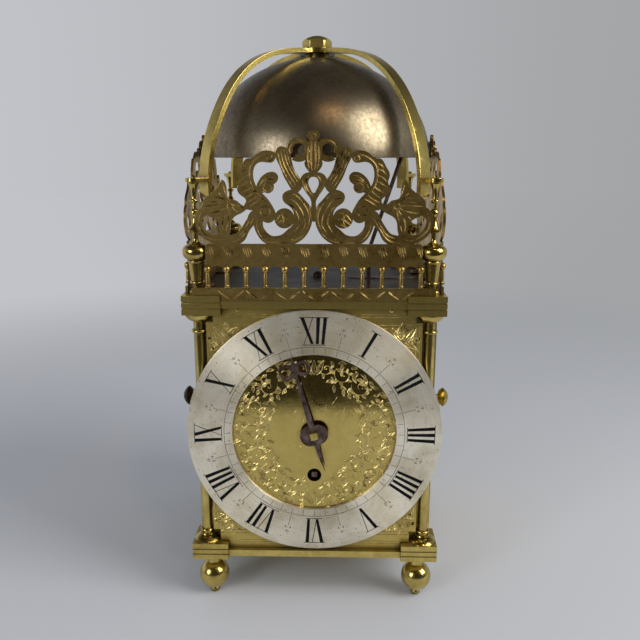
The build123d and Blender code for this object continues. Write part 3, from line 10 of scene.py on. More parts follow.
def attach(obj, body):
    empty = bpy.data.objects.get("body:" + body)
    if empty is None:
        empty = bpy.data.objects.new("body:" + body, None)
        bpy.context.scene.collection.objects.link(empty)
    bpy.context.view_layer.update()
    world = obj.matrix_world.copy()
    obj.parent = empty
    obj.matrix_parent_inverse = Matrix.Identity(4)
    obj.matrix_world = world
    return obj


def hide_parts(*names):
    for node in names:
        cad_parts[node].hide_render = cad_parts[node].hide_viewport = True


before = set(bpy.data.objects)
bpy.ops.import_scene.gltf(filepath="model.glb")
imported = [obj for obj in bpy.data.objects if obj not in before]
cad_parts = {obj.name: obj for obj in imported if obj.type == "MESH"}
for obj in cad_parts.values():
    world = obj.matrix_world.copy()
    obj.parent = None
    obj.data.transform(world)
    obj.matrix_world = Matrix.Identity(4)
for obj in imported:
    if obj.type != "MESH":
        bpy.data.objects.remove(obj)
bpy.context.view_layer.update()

# ---------------- floor, light and camera
# The clock stands on a pale grey table that runs into the backdrop without an edge. A tall
# window lights it from the right, a dimmer one from the left, and a small lamp hangs overhead.
mm = 0.001
scene = bpy.context.scene
floor_shade = "c0c4cc"
backdrop_left, backdrop_right = "c2c3c8", "a2a4a6"
dark_room = "312e2a"
floor_radius, fade_start, fade_end = 6.0, 0.3, 1.25
table_front = 0.435     # the table's near edge, past which polished metal mirrors a dark room


def tint(code):
    """A six-figure sRGB colour as the linear colour that a shader reads."""
    parts = [int(code[i : i + 2], 16) / 255 for i in (0, 2, 4)]
    return [p / 12.92 if p <= 0.04045 else ((p + 0.055) / 1.055) ** 2.4 for p in parts] + [1.0]


mode_names = {"Mix": "data_type", "MapRange": "interpolation_type"}


def add_node(tree, kind, plugs=None, mode=None, stops=None, **settings):
    """Adds one node. Each plug takes a plain value, or the node or output that feeds it.

    The mode is the sum that it works out, the kind of value that it mixes, or its smoothing."""
    made = tree.nodes.new(kind if "Node" in kind else "ShaderNode" + kind)
    if mode:
        settings[mode_names.get(kind, "operation")] = mode
    for name, value in settings.items():
        setattr(made, name, value)
    if stops:
        band = made.color_ramp.elements
        for end, (place, shade) in zip((band[0], band[1]), (stops[0], stops[-1])):
            end.position, end.color = place, tint(shade)
        for place, shade in stops[1:-1]:
            band.new(place).color = tint(shade)
    for name, value in (plugs or {}).items():
        plug = made.inputs[name]
        if isinstance(value, bpy.types.Node):
            value = next(out for out in value.outputs if out.enabled)
        if isinstance(value, bpy.types.NodeSocket):
            tree.links.new(value, plug)
        else:
            plug.default_value = tint(value) if plug.type == "RGBA" else value
    return made


def adder(owner):
    """Empties the node tree of a material or a world, and gives the call that adds to it."""
    owner.use_nodes = True
    owner.node_tree.nodes.clear()
    return partial(add_node, owner.node_tree)


def finish(shader):
    """Makes a function that builds a shader into one that makes a named material.

    The first is given the call that adds a node, and each point's place in the clock's frame."""
    def make(name, *shades, **looks):
        material = bpy.data.materials.new(name)
        add = adder(material)
        skin = shader(add, add("TexCoord").outputs["Object"], *shades, **looks)
        add("OutputMaterial", {"Surface": skin})
        return material

    return make


def mesh_from(shape, name):
    """Turns a worked shape into a plain mesh."""
    mesh = bpy.data.meshes.new(name)
    shape.to_mesh(mesh)
    shape.free()
    return mesh


def new_piece(name, mesh, *materials):
    """Puts a mesh into the scene at the origin."""
    piece = bpy.data.objects.new(name, mesh)
    scene.collection.objects.link(piece)
    for material in materials:
        mesh.materials.append(material)
    return piece


def backdrop_tone(add, across):
    """The backdrop's grey, which falls off from left to right."""
    share = add("MapRange", {"Value": across, "From Min": -0.55, "From Max": 0.5}, "SMOOTHSTEP")
    return add("Mix", {"Factor": share, "A": backdrop_left, "B": backdrop_right}, "RGBA")


@finish
def studio_floor(add, place):
    """A pale grey table that turns into the backdrop far off, and into a dark room for mirrors."""
    fade = add("MapRange", {
        "Value": add("VectorMath", {0: place}, "LENGTH"),
        "From Min": fade_start, "From Max": fade_end,
    }, "SMOOTHSTEP")
    near_floor = add("BsdfPrincipled", {
        "Base Color": floor_shade, "Roughness": 0.6, "Specular IOR Level": 0.2,
    })
    way = add("SeparateXYZ", {0: add("VectorMath", {0: place}, "NORMALIZE")})
    far_floor = add("Emission", {"Color": backdrop_tone(add, way.outputs["X"])})
    front = add("MapRange", {
        "Value": add("SeparateXYZ", {0: place}).outputs["Y"],
        "From Min": -table_front, "From Max": -table_front - 0.015,
    })
    mirrored = add("LightPath").outputs["Is Glossy Ray"]
    return add("MixShader", {
        "Fac": add("Math", {0: front, 1: mirrored}, "MULTIPLY"),
        1: add("MixShader", {"Fac": fade, 1: near_floor, 2: far_floor}),
        2: add("Emission", {"Color": dark_room}),
    })


shape = bmesh.new()
bmesh.ops.create_circle(shape, cap_ends=True, segments=96, radius=floor_radius)
floor = new_piece("floor", mesh_from(shape, "floor"), studio_floor("studio_floor"))

world = bpy.data.worlds.new("studio")
add = adder(world)
ray = add("LightPath").outputs
way = add("TexCoord").outputs["Object"]
way = add("SeparateXYZ", {0: way}).outputs
tone = backdrop_tone(add, way["X"])
backdrop = add("Background", {"Color": tone})
# the ceiling and the side behind the camera are dark, which only metal and glass show
ahead, above = (
    add("MapRange", {"Value": way[axis], "From Min": start, "From Max": end}, "SMOOTHSTEP")
    for axis, start, end in (("Y", 0.1, -0.5), ("Z", 0.2, 0.8))
)
dark = add("Math", {0: ahead, 1: above}, "MAXIMUM")
mirrored = add("Mix", {"Factor": dark, "A": tone, "B": dark_room}, "RGBA")
mirrored = add("Background", {"Color": mirrored})
room = add("Background", {"Color": "f4f6fa", "Strength": 0.46})
shine = add("Math", {0: ray["Is Glossy Ray"], 1: ray["Is Transmission Ray"]}, "MAXIMUM")
mixed = add("MixShader", {"Fac": shine, 1: room, 2: mirrored})
mixed = add("MixShader", {"Fac": ray["Is Camera Ray"], 1: mixed, 2: backdrop})
add("OutputWorld", {"Surface": mixed})
scene.world = world


def add_lamp(name, place, target, size, power, shade):
    """Hangs one flat lamp, aimed at a spot on the clock. Sizes are in metres."""
    lamp = bpy.data.lights.new(name, "AREA")
    lamp.shape = "RECTANGLE"
    lamp.size, lamp.size_y = size
    lamp.energy = power
    lamp.color = tint(shade)[:3]
    holder = bpy.data.objects.new(name, lamp)
    holder.location = place
    aim = Vector(target) - Vector(place)
    holder.rotation_euler = aim.to_track_quat("-Z", "Y").to_euler()
    scene.collection.objects.link(holder)


add_lamp("window_right", (1.05, -0.5, 0.95), (0, 0, 0.2), (0.7, 0.9), 13.5, "fffcf6")
add_lamp("window_left", (-0.85, -0.95, 0.52), (0, 0, 0.15), (0.4, 0.5), 4.6, "fbfcff")
add_lamp("ceiling_lamp", (0.297, -0.703, 1.299), (0, 0, 0.3), (0.07, 0.03), 0.9, "ffd3a0")

eye = bpy.data.cameras.new("camera")
eye.lens = 38.25
eye.clip_start = 0.01
camera = bpy.data.objects.new("camera", eye)
camera.location = (0.0135, -0.4905, 0.294)
camera.rotation_euler = (radians(76.76), 0.0, radians(1.35))
scene.collection.objects.link(camera)
scene.camera = camera
scene.view_settings.view_transform = "Standard"

# ---------------- bottom and top plates
# Two square plates of cast brass with a block at each corner, filed flat and draw-polished.
# The blocks carry turned lines, and everything between the plates is pegged into them.


@finish
def brass_finish(
    add, place, bright, worn, tarnish, polish, grain=(1, 1, 0.08), lines=0.25, dirt=0.8, bare=1.0
):
    """Old polished brass: a warm metal with olive wear, and tarnish and painted shade in its
    corners.

    The grain is the direction of the file and polishing marks, drawn at about 0.4 mm. Where
    the metal isn't bare, a dull skin covers it."""
    # handling wear in patches of about 25 mm, broken up by spots of 3 mm
    patches = add("TexNoise", {
        "Vector": place, "Scale": 40, "Detail": 6, "Roughness": 0.65, "Distortion": 0.6,
    })
    spots = add("TexNoise", {"Vector": place, "Scale": 330, "Detail": 3, "Roughness": 0.7})
    wear = add("Math", {0: spots, 1: 0.35, 2: patches}, "MULTIPLY_ADD")
    wear = add("MapRange", {"Value": wear, "From Min": 0.5, "From Max": 0.86})
    face = add("Mix", {"Factor": wear, "A": bright, "B": worn}, "RGBA")
    # tarnish gathers in corners that polish never reaches, and the same occlusion mask also
    # paints shade there and between parts; dirt is how dark both make it
    corner_shade_and_tarnish = add("AmbientOcclusion", {"Distance": 5 * mm}, samples=6).outputs["AO"]
    corner_shade_and_tarnish = add("MapRange", {
        "Value": corner_shade_and_tarnish, "From Min": 0.35, "From Max": 0.92, "To Min": dirt, "To Max": 0,
    })
    face = add("Mix", {"Factor": corner_shade_and_tarnish, "A": face, "B": tarnish}, "RGBA")
    marks = add("TexNoise", {
        "Vector": add("Mapping", {"Vector": place, "Scale": grain}),
        "Scale": 2400, "Detail": 4, "Roughness": 0.6,
    })
    rough = add("Math", {0: wear, 1: 0.1, 2: polish}, "MULTIPLY_ADD")
    rough = add("Math", {0: corner_shade_and_tarnish, 1: 0.3, 2: rough}, "MULTIPLY_ADD", use_clamp=True)
    height = add("Math", {0: marks, 1: lines, 2: spots}, "MULTIPLY_ADD")
    return add("BsdfPrincipled", {
        "Base Color": face, "Metallic": bare, "Roughness": rough,
        "Normal": add("Bump", {"Height": height, "Strength": 0.16, "Distance": 0.08 * mm}),
    })


def finish_nodes(material, *nodes):
    """Gives solids of the frame a better material."""
    for node in nodes:
        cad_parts[node].material_slots[0].material = material


case_brass = brass_finish(
    "draw_polished_brass", "e3cc78", "b7a055", "43340f", 0.3, (0.05, 1, 1), 0.5
)
turned_brass = brass_finish("turned_brass", "e2cb78", "ab9450", "3a2c0c", 0.15, (0.1, 0.1, 1))
finish_nodes(case_brass, "bottom_plate")

# ---------------- feet, pillars and finials
# Each is turned in a lathe from cast brass, with a spigot at its end that plugs into a block.
# The ball feet stand a little inside the pillars, and each finial ends in a cup for the strap.


def turned_outline(start, *steps, fine=0.5):
    """A profile in millimetres as (radius, height). Four numbers are an arc, by its middle."""
    points = [start]
    for step in steps:
        if len(step) == 2:
            points.append(step)
            continue
        a, b, c = complex(*points[-1]), complex(*step[:2]), complex(*step[2:])
        bend = (c - a) / (b - a)
        middle = a + (b - a) * (bend - abs(bend) ** 2) / (2j * bend.imag)
        radius = abs(a - middle)
        first, via, last = (phase(spot - middle) for spot in (a, b, c))
        sweep = (last - first) % (2 * pi)
        if (via - first) % (2 * pi) > sweep:
            sweep -= 2 * pi
        count = max(3, round(abs(sweep) * radius / fine))
        for n in range(1, count + 1):
            spot = middle + rect(radius, first + sweep * n / count)
            points.append((spot.real, spot.imag))
    return points


def sharpen(shape, limit=32.0):
    """Smooth faces with sharp edges where two faces meet at more than a limit in degrees."""
    for face in shape.faces:
        face.smooth = True
    for edge in shape.edges:
        edge.smooth = edge.is_boundary or edge.calc_face_angle(0.0) < radians(limit)


def turned_mesh(name, points, around=56):
    """Spins a profile round the Z axis into one closed skin."""
    shape = bmesh.new()
    line = [shape.verts.new((r * mm, 0.0, z * mm)) for r, z in points]
    edges = [shape.edges.new(pair) for pair in zip(line, line[1:])]
    bmesh.ops.spin(
        shape, geom=line + edges, cent=(0, 0, 0), axis=(0, 0, 1), angle=2 * pi, steps=around,
        use_merge=True,
    )
    bmesh.ops.remove_doubles(shape, verts=shape.verts, dist=0.002 * mm)
    bmesh.ops.recalc_face_normals(shape, faces=shape.faces)
    sharpen(shape)
    return mesh_from(shape, name)


def fit(piece, body, slot, *solids):
    """Fixes a piece to a body of the frame, in place of the solids that it stands for."""
    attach(piece, body)
    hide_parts(*solids)


def repeat_tree(label):
    """A Geometry Nodes tree that sets a shape at every point of a mesh, turned to face a way."""
    tree = bpy.data.node_groups.new(label, "GeometryNodeTree")
    for name, way, kind in (
        ("Points", "INPUT", "Geometry"), ("Shape", "INPUT", "Object"),
        ("Material", "INPUT", "Material"), ("Uneven turn", "INPUT", "Float"),
        ("Seed", "INPUT", "Int"), ("Pieces", "OUTPUT", "Geometry"),
    ):
        tree.interface.new_socket(name, in_out=way, socket_type="NodeSocket" + kind)
    add = partial(add_node, tree)
    given = add("NodeGroupInput").outputs
    shape = add("GeometryNodeObjectInfo", {"Object": given["Shape"]}, transform_space="ORIGINAL")
    turn = add("GeometryNodeInputNamedAttribute", {"Name": "turn"}, data_type="FLOAT_VECTOR")
    chance = add("FunctionNodeRandomValue", {"Seed": given["Seed"]}, data_type="FLOAT")
    extra = add("Math", {0: chance, 1: given["Uneven turn"]}, "MULTIPLY")
    base, extra = (
        add("FunctionNodeEulerToRotation", {"Euler": euler})
        for euler in (turn, add("CombineXYZ", {"Z": extra}))
    )
    placed = add("GeometryNodeInstanceOnPoints", {
        "Points": given["Points"], "Instance": shape.outputs["Geometry"],
        "Rotation": add("FunctionNodeRotateRotation", {
            "Rotation": base, "Rotate By": extra,
        }, rotation_space="LOCAL"),
    })
    real = add("GeometryNodeRealizeInstances", {"Geometry": placed})
    add("NodeGroupOutput", {
        "Pieces": add("GeometryNodeSetMaterial", {"Geometry": real, "Material": given["Material"]}),
    })
    return tree


repeat = repeat_tree("set_at_points")


def settle(piece):
    """Makes a piece and its modifiers one plain mesh."""
    seen = piece.evaluated_get(bpy.context.evaluated_depsgraph_get())
    mesh = bpy.data.meshes.new_from_object(seen)
    piece.modifiers.clear()
    piece.data = mesh


def set_at(name, mesh, places, material, turns=None, uneven=0.0, chance=1):
    """Repeats a mesh at places given in millimetres, with a turn for each in degrees."""
    pattern = new_piece(name + "_pattern", mesh)
    points = bpy.data.meshes.new(name + "_points")
    points.from_pydata([Vector(p) * mm for p in places], [], [])
    turn = points.attributes.new("turn", "FLOAT_VECTOR", "POINT")
    for n in range(len(places)):
        turn.data[n].vector = [radians(a) for a in (turns[n] if turns else (0, 0, 0))]
    holder = new_piece(name, points)
    step = holder.modifiers.new("repeat", "NODES")
    step.node_group = repeat
    plugs = {s.name: s.identifier for s in repeat.interface.items_tree if s.in_out == "INPUT"}
    for plug, value in (
        ("Shape", pattern), ("Material", material), ("Uneven turn", uneven), ("Seed", chance)
    ):
        step[plugs[plug]] = value
    settle(holder)
    bpy.data.objects.remove(pattern)
    return holder


foot_out, pillar_out = 70.0, 73.0
block_bottom, pillar_foot, pillar_head, block_head, cup_head = 31.4, 42.6, 200.2, 212.6, 281.0
spigot, deep = 2.4, 4.6         # a spigot's radius and length
# each profile's heights start where the piece stands on its block, or on the table
high = block_bottom
foot_points = turned_outline(
    (0, 0), (2.4, 0), (3.4, 2.0, 2.0, 4.0), (10.2, 14.0, 4.2, 23.3), (3.9, 27.3, 5.6, high),
    (spigot, high), (spigot, high + deep), (0, high + deep),
)
r, high = 3.3, pillar_head - pillar_foot
pillar_points = turned_outline(
    (0, -deep), (spigot, -deep), (spigot, 0), (8.8, 0), (8.8, 0.6), (6.6, 2.3, r + 0.4, 3.3),
    (r + 1.3, 4.1, r + 0.2, 4.9), (r + 0.2, 6.2), (r + 1.4, 7.2, r, 8.2), (r, high - 12.4),
    (r + 1.7, high - 11.5, r, high - 10.6), (r, high - 5.2),
    (r + 3.4, high - 3.9, 8.8, high - 0.6), (8.8, high), (spigot, high), (spigot, high + deep),
    (0, high + deep),
)
high = cup_head - block_head
finial_points = turned_outline(
    (0, -deep), (spigot, -deep), (spigot, 0), (5.4, 0), (5.4, 0.8), (4.9, 2.6, 3.2, 3.6),
    (3.2, 6.2), (4.6, 7.1, 3.7, 8.1), (4.9, 19.4), (5.5, 20.3, 5.0, 21.2), (7.8, 23.4, 8.6, 26.4),
    (7.6, 29.3, 4.6, 30.8), (2.5, 32.2, 1.8, 35.0), (1.8, 38.2), (4.6, 38.9), (4.6, 39.7),
    (2.5, 42.8, 1.6, 47.8), (2.6, 50.2, 1.5, 52.4), (1.4, 56.2), (2.7, 57.3, 1.6, 58.4),
    (1.9, 63.6, 3.2, 67.6), (3.2, high), (1.5, high), (1.5, high + 3.2), (0.6, high + 4.0),
    (0, high + 4.0),
)
for kind, points, out, foot in (
    ("foot", foot_points, foot_out, 0.0), ("pillar", pillar_points, pillar_out, pillar_foot),
    ("finial", finial_points, pillar_out, block_head),
):
    corners = [(x * out, y * out, foot) for y in (-1, 1) for x in (-1, 1)]
    four = set_at(f"turned_{kind}_set", turned_mesh(kind, points), corners, turned_brass)
    solids = [f"{end}_{side}_{kind}" for end in ("front", "rear") for side in ("left", "right")]
    fit(four, "case", "brass", *solids)

# ---------------- dial plate
# A sheet of brass 2 mm thick, pegged between the plates, with its front engraved by hand: a
# wreath of scrolling leaves round a plain brushed middle, and a spray of leaves in each corner.
dial_middle = 121.0
plate_face = 76.9
engraving_depth = 0.3
wall_slope = 0.6        # how steep a graver's cut is
merge_gap = 0.0005 * mm


def solid_copy(node):
    """A joined-up copy of a solid of the frame, with its flat faces whole again."""
    shape = bmesh.new()
    shape.from_mesh(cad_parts[node].data)
    bmesh.ops.remove_doubles(shape, verts=shape.verts, dist=merge_gap)
    bmesh.ops.dissolve_limit(
        shape, angle_limit=radians(0.4), verts=shape.verts, edges=shape.edges, delimit=set()
    )
    return shape


def ruled_copy(node, pitch):
    """A copied plate whose faces are ruled into squares, so that each cut face stays simple."""
    shape = solid_copy(node)
    count = round(90 / pitch)
    for way, middle in (((1, 0, 0), 0.0), ((0, 0, 1), dial_middle)):
        for n in range(-count, count + 1):
            bmesh.ops.bisect_plane(
                shape, geom=shape.verts[:] + shape.edges[:] + shape.faces[:],
                plane_co=Vector(way) * (middle + (n + 0.37) * pitch) * mm, plane_no=way,
            )
    return shape


def flowing(points, step=1.0):
    """A smooth line through a few points, as many short runs."""
    ends = [points[0], *points, points[-1]]
    line = []
    for a, b, c, d in zip(ends, ends[1:], ends[2:], ends[3:]):
        count = max(2, round(hypot(c[0] - b[0], c[1] - b[1]) / step))
        for n in range(count):
            t = n / count
            line.append(tuple(
                0.5 * (2 * q + (r - p) * t + (2 * p - 5 * q + 4 * r - s) * t * t
                       + (3 * q - p - 3 * r + s) * t**3)
                for p, q, r, s in zip(a, b, c, d)
            ))
    line.append(tuple(points[-1]))
    return line


def cut(points, width, step=1.0, even=False, ring=False):
    """One stroke of the graver: a smooth line that swells and thins out, in millimetres."""
    line = points if ring else flowing(points, step)
    last = len(line) - 1
    halves = [
        max(0.05, width / 2 * (1.0 if even or ring else sin(pi * (n / last) ** 0.8) ** 0.7))
        for n in range(last + 1)
    ]
    return line, halves, ring


def meets(one, other):
    """Whether two strokes come within each other's reach."""
    (line, reach, low, high), (far_line, far_reach, far_low, far_high) = one[:4], other[:4]
    if any(high[k] < far_low[k] or low[k] > far_high[k] for k in (0, 1)):
        return False
    near = (reach + far_reach) ** 2
    return any((p[0] - q[0]) ** 2 + (p[1] - q[1]) ** 2 < near for p in line for q in far_line)


def cutters(strokes, depth, to_space):
    """Wedges that cut the strokes, in groups whose strokes don't touch each other."""
    groups = []
    for line, halves, ring in strokes:
        reach = max(halves) + 0.25
        low = [min(p[k] for p in line) - reach for k in (0, 1)]
        high = [max(p[k] for p in line) + reach for k in (0, 1)]
        stroke = (line, reach, low, high, halves, ring)
        for group in groups:
            if not any(meets(stroke, other) for other in group):
                group.append(stroke)
                break
        else:
            groups.append([stroke])
    proud = 0.06        # how far a wedge stands out of the metal
    meshes = []
    for group in groups:
        points, faces = [], []
        for line, _, _, _, halves, ring in group:
            start, count = len(points), len(line)
            for n, (u, v) in enumerate(line):
                before = line[n - 1] if n or ring else line[0]
                after = line[(n + 1) % count] if n < count - 1 or ring else line[-1]
                run = Vector((after[0] - before[0], after[1] - before[1])).normalized()
                down = max(0.03, min(depth, wall_slope * halves[n]))
                half = halves[n] * (down + proud) / down
                points += [
                    to_space(u - run.y * half, v + run.x * half, -proud),
                    to_space(u + run.y * half, v - run.x * half, -proud), to_space(u, v, down),
                ]
            for n in range(count if ring else count - 1):
                a, b = start + 3 * n, start + 3 * ((n + 1) % count)
                faces += [(a, a + 1, b + 1, b), (a + 1, a + 2, b + 2, b + 1), (a + 2, a, b, b + 2)]
            if not ring:
                end = start + 3 * (count - 1)
                faces += [(start, start + 2, start + 1), (end, end + 1, end + 2)]
        shape = bmesh.new()
        made = [shape.verts.new(Vector(p) * mm) for p in points]
        for face in faces:
            shape.faces.new([made[i] for i in face]).material_index = 1
        bmesh.ops.recalc_face_normals(shape, faces=shape.faces)
        meshes.append(mesh_from(shape, "graver"))
    return meshes


def carve(piece, tool_mesh, *materials):
    """Takes a tool's shape out of a piece."""
    tool = new_piece("graver", tool_mesh, *materials)
    step = piece.modifiers.new("graver", "BOOLEAN")
    step.operation, step.solver, step.object = "DIFFERENCE", "MANIFOLD", tool
    settle(piece)
    bpy.data.objects.remove(tool)


def engrave(name, shape, strokes, depth, to_space, *materials):
    """Cuts strokes into a closed shape. The cuts get the second material."""
    piece = new_piece(name, mesh_from(shape, name), *materials)
    for tool_mesh in cutters(strokes, depth, to_space):
        carve(piece, tool_mesh, *materials)
    shape = bmesh.new()
    shape.from_mesh(piece.data)
    bmesh.ops.remove_doubles(shape, verts=shape.verts, dist=merge_gap)
    sharpen(shape, 12)
    shape.to_mesh(piece.data)
    shape.free()
    return piece


def leaf(base, tip, width, bend, weight, veins=0):
    """Strokes for one leaf: its two edges, its middle vein and a few side veins."""
    a, b = Vector(base), Vector(tip)
    along = b - a
    side = Vector((-along.y, along.x)).normalized()
    middle = (a + b) / 2 + side * bend
    strokes = []
    for way in (-1, 1):
        belly = a.lerp(b, 0.38) + side * (bend + way * width / 2)
        strokes.append(cut([a, belly, b.lerp(middle, 0.12) + side * way * width * 0.1, b], weight))
    strokes.append(cut([a, middle, a.lerp(b, 0.86) + side * bend * 0.5], weight * 0.7))
    for n in range(veins):
        root = a.lerp(b, 0.2 + 0.5 * n / veins)
        for way in (-1, 1):
            end = root + along * 0.16 + side * (bend * 0.7 + way * width * 0.34)
            strokes.append(cut([root + side * bend * 0.7, end], weight * 0.55))
    return strokes


def scroll_of_leaves(middle, radius, start, way, leaves, turns=1.35, weight=0.62):
    """Strokes for a curled stem with leaves along its outside."""
    stem, strokes = [], []
    count = 26
    for n in range(count + 1):
        share = n / count
        angle = radians(start) + way * 2 * pi * turns * share
        reach = radius * (1 - 0.86 * share**0.85)
        stem.append((middle[0] + reach * cos(angle), middle[1] + reach * sin(angle)))
    strokes.append(cut(stem, weight * 1.15))
    for n in range(leaves):
        spot = 1 + round(n * (count * 0.62) / leaves)
        here, ahead = Vector(stem[spot]), Vector(stem[spot + 1])
        run = (ahead - here).normalized()
        out = (here - Vector(middle)).normalized()
        size = radius * (0.62 - 0.035 * n) * uniform(0.85, 1.15)
        tip = here + (out * 0.75 + run * 0.7).normalized() * size
        strokes += leaf(here, tip, size * 0.42, way * size * 0.1, weight)
    inner = Vector(stem[-1])
    strokes.append(cut([inner, inner + Vector((0.8, 0.5)), inner + Vector((0.2, 1.2))], weight))
    return strokes


seed(41)
dial_strokes = []
wreath = (
    # angle from XII, radius of its place, size, first angle, leaves
    (66, 41.5, 8.6, 200, 7), (90, 40.5, 9.4, 250, 8), (114, 40.5, 9.0, 215, 8),
    (137, 41.5, 8.2, 180, 7), (158, 43.0, 6.8, 120, 6), (44, 43.4, 6.6, 160, 6),
    (26, 43.6, 6.4, 130, 6), (9, 44.4, 5.6, 100, 5),
)
for side in (-1, 1):
    for angle, out, size, first, leaves in wreath:
        angle += uniform(-1.5, 1.5)
        middle = (side * out * sin(radians(angle)), out * cos(radians(angle)))
        start = first if side > 0 else 180 - first
        dial_strokes += scroll_of_leaves(middle, size, start, side, leaves)
    # small leaves fill the gaps next to the ring and round the plain middle
    for n in range(34):
        angle = radians(12 + 164 * (n + uniform(-0.3, 0.3)) / 34)
        for out, size in ((50.0, 4.6), (46.0, 4.2), (35.5, 4.4), (31.0, 4.0)):
            if out < 33 and not 0.9 < angle < 2.6:
                continue
            here = Vector((side * out * sin(angle), out * cos(angle)))
            turn = angle + uniform(-1.1, 1.1) + (0.8 if n % 2 else 1.9)
            tip = here + Vector((side * sin(turn), cos(turn))) * size * uniform(0.8, 1.3)
            dial_strokes += leaf(here, tip, size * 0.42, uniform(-0.6, 0.6), 0.55)
# a leaf at the foot of the wreath and one at its head
for root, tip in ((-51, -41), (39.5, 49.5)):
    for lean in (-0.5, 0, 0.5):
        dial_strokes += leaf((lean * 3, root), (lean * 12, tip), 3.2, 0, 0.6)
# knocks and scratches in the plain middle
for n in range(20):
    angle, out = uniform(0, 2 * pi), uniform(9, 30)
    here = Vector((out * cos(angle), out * sin(angle)))
    turn = gauss(0.9, 0.9)
    size = choice((1.2, 2.0, 3.5, 6.0))
    there = here + Vector((cos(turn), sin(turn))) * size
    dial_strokes.append(cut([here, (here + there) / 2 + Vector((0.15, 0.1)), there], 0.3))
# corners: a fan of leaves, and a border of two lines behind it
border_side, border_end = 66.2, 72.4
fan = ((-104, 9), (-72, 12), (-38, 13.5), (0, 14), (38, 13.5), (72, 12), (104, 9))
for x in (-1, 1):
    for z in (-1, 1):
        root = Vector((x * 54.5, z * 60.5))
        for turn, size in fan:
            angle = radians(42 + turn)
            way = Vector((x * sin(angle), z * cos(angle)))
            dial_strokes += leaf(root + way * 2.6, root + way * size, 5.2, 0.6, 0.85, 3)
        for inset in (0, 2.2):
            side, end = x * (border_side - inset), z * (border_end - inset)
            for line in ([(side, z * 44), (side, end)], [(side, end), (x * 34, end)]):
                dial_strokes.append(cut(line, 0.5, 4.0, even=True))
for z in (-1, 1):
    for height in (77.4, 79.0):
        dial_strokes.append(cut([(-56, z * height), (56, z * height)], 0.45, 8.0, even=True))


@finish
def engraved_brass(add, place, bright, dark, polish):
    """A graver's cut: bright on its walls, with old polish and dirt along its bottom."""
    # dirt comes and goes every 6 mm or so
    dirt = add("TexNoise", {"Vector": place, "Scale": 170, "Detail": 3, "Roughness": 0.6})
    dirt = add("MapRange", {"Value": dirt, "From Min": 0.42, "From Max": 0.7})
    face = add("Mix", {"Factor": dirt, "A": bright, "B": dark}, "RGBA")
    rough = add("MapRange", {"Value": dirt, "To Min": polish, "To Max": polish + 0.25})
    return add("BsdfPrincipled", {"Base Color": face, "Metallic": 1, "Roughness": rough})


dial_brass = brass_finish(
    "brushed_dial_brass", "d6c070", "c6af62", "4c3c18", 0.05, (1, 1, 0.03), 1.3
)
# outside the ring the plate is matted with a fine punch instead of brushed
add = partial(add_node, dial_brass.node_tree)
dull = dial_brass.node_tree.nodes["Principled BSDF"].inputs["Roughness"]
across = add("Mapping", {
    "Vector": add("TexCoord").outputs["Object"], "Location": (0, 0, -dial_middle * mm),
    "Scale": (1, 0, 1),
})
matt_start, matt_end = 62 * mm, 66 * mm
matt = add("MapRange", {
    "Value": add("VectorMath", {0: across}, "LENGTH"),
    "From Min": matt_start, "From Max": matt_end, "To Max": 0.3,
})
matt = add("Math", {0: matt, 1: dull.links[0].from_socket})
dial_brass.node_tree.links.new(matt.outputs["Value"], dull)
dial = engrave(
    "engraved_dial_plate", ruled_copy("dial_plate", 2.2), dial_strokes, engraving_depth,
    lambda u, v, down: (u, -plate_face + down, dial_middle + v),
    dial_brass, engraved_brass("engraved_brass", "ecd68e", "4c3c16", 0.3),
)
fit(dial, "case", "brass", "dial_plate")

# ---------------- chapter ring and numerals
# A ring of brass 2 mm thick, silvered by rubbing and lacquered, pinned to the dial plate by its
# studs. The hours, half hours and a track of quarters are cut by hand and filled with black wax.
ring_outer, ring_inner, ring_face = 82.5, 53.4, 78.9
track_radius, half_hour_radius = 58.6, 71.5


def ring_line(middle, radius, count=16):
    """A closed circle of points."""
    turns = [2 * pi * n / count for n in range(count)]
    return [(middle[0] + radius * cos(a), middle[1] + radius * sin(a)) for a in turns]


def ring_spot(turn, radius, across=0.0):
    """A spot on the ring by its angle in degrees from XII."""
    side, up = sin(radians(turn)), cos(radians(turn))
    return (radius * side + across * up, radius * up - across * side)


def eased_rims(shape, width, chosen, least=50):
    """Rounds over the chosen sharp edges of a copied solid."""
    rims = [
        edge for edge in shape.edges
        if edge.is_manifold and edge.calc_face_angle(0.0) > radians(least)
        and all(chosen(vert.co / mm) for vert in edge.verts)
    ]
    bmesh.ops.bevel(
        shape, geom=rims, offset=width * mm, segments=2, profile=0.6, affect="EDGES",
        clamp_overlap=True,
    )


def finished_piece(name, shape, *materials):
    """Makes a copied and worked solid a piece of its own."""
    sharpen(shape, 15)
    return new_piece(name, mesh_from(shape, name), *materials)


ring_strokes = [cut(ring_line((0, 0), track_radius, 180), 0.26, ring=True)]
for quarter in range(48):
    ring_strokes.append(cut(
        [ring_spot(7.5 * quarter, ring_inner + 0.9), ring_spot(7.5 * quarter, track_radius - 0.3)],
        0.24, 2.0, even=True,
    ))
for hour in range(12):
    turn = 30 * hour + 15
    for across, out, reach in ((0, 0, 1.8), (-1.3, 0.3, 1.0), (1.3, 0.3, 1.0), (0, -2.4, 0.8)):
        ring_strokes.append(cut([
            ring_spot(turn, half_hour_radius + out - reach / 2, across * 0.8),
            ring_spot(turn, half_hour_radius + out + reach / 2, across),
        ], 0.42, 0.5))


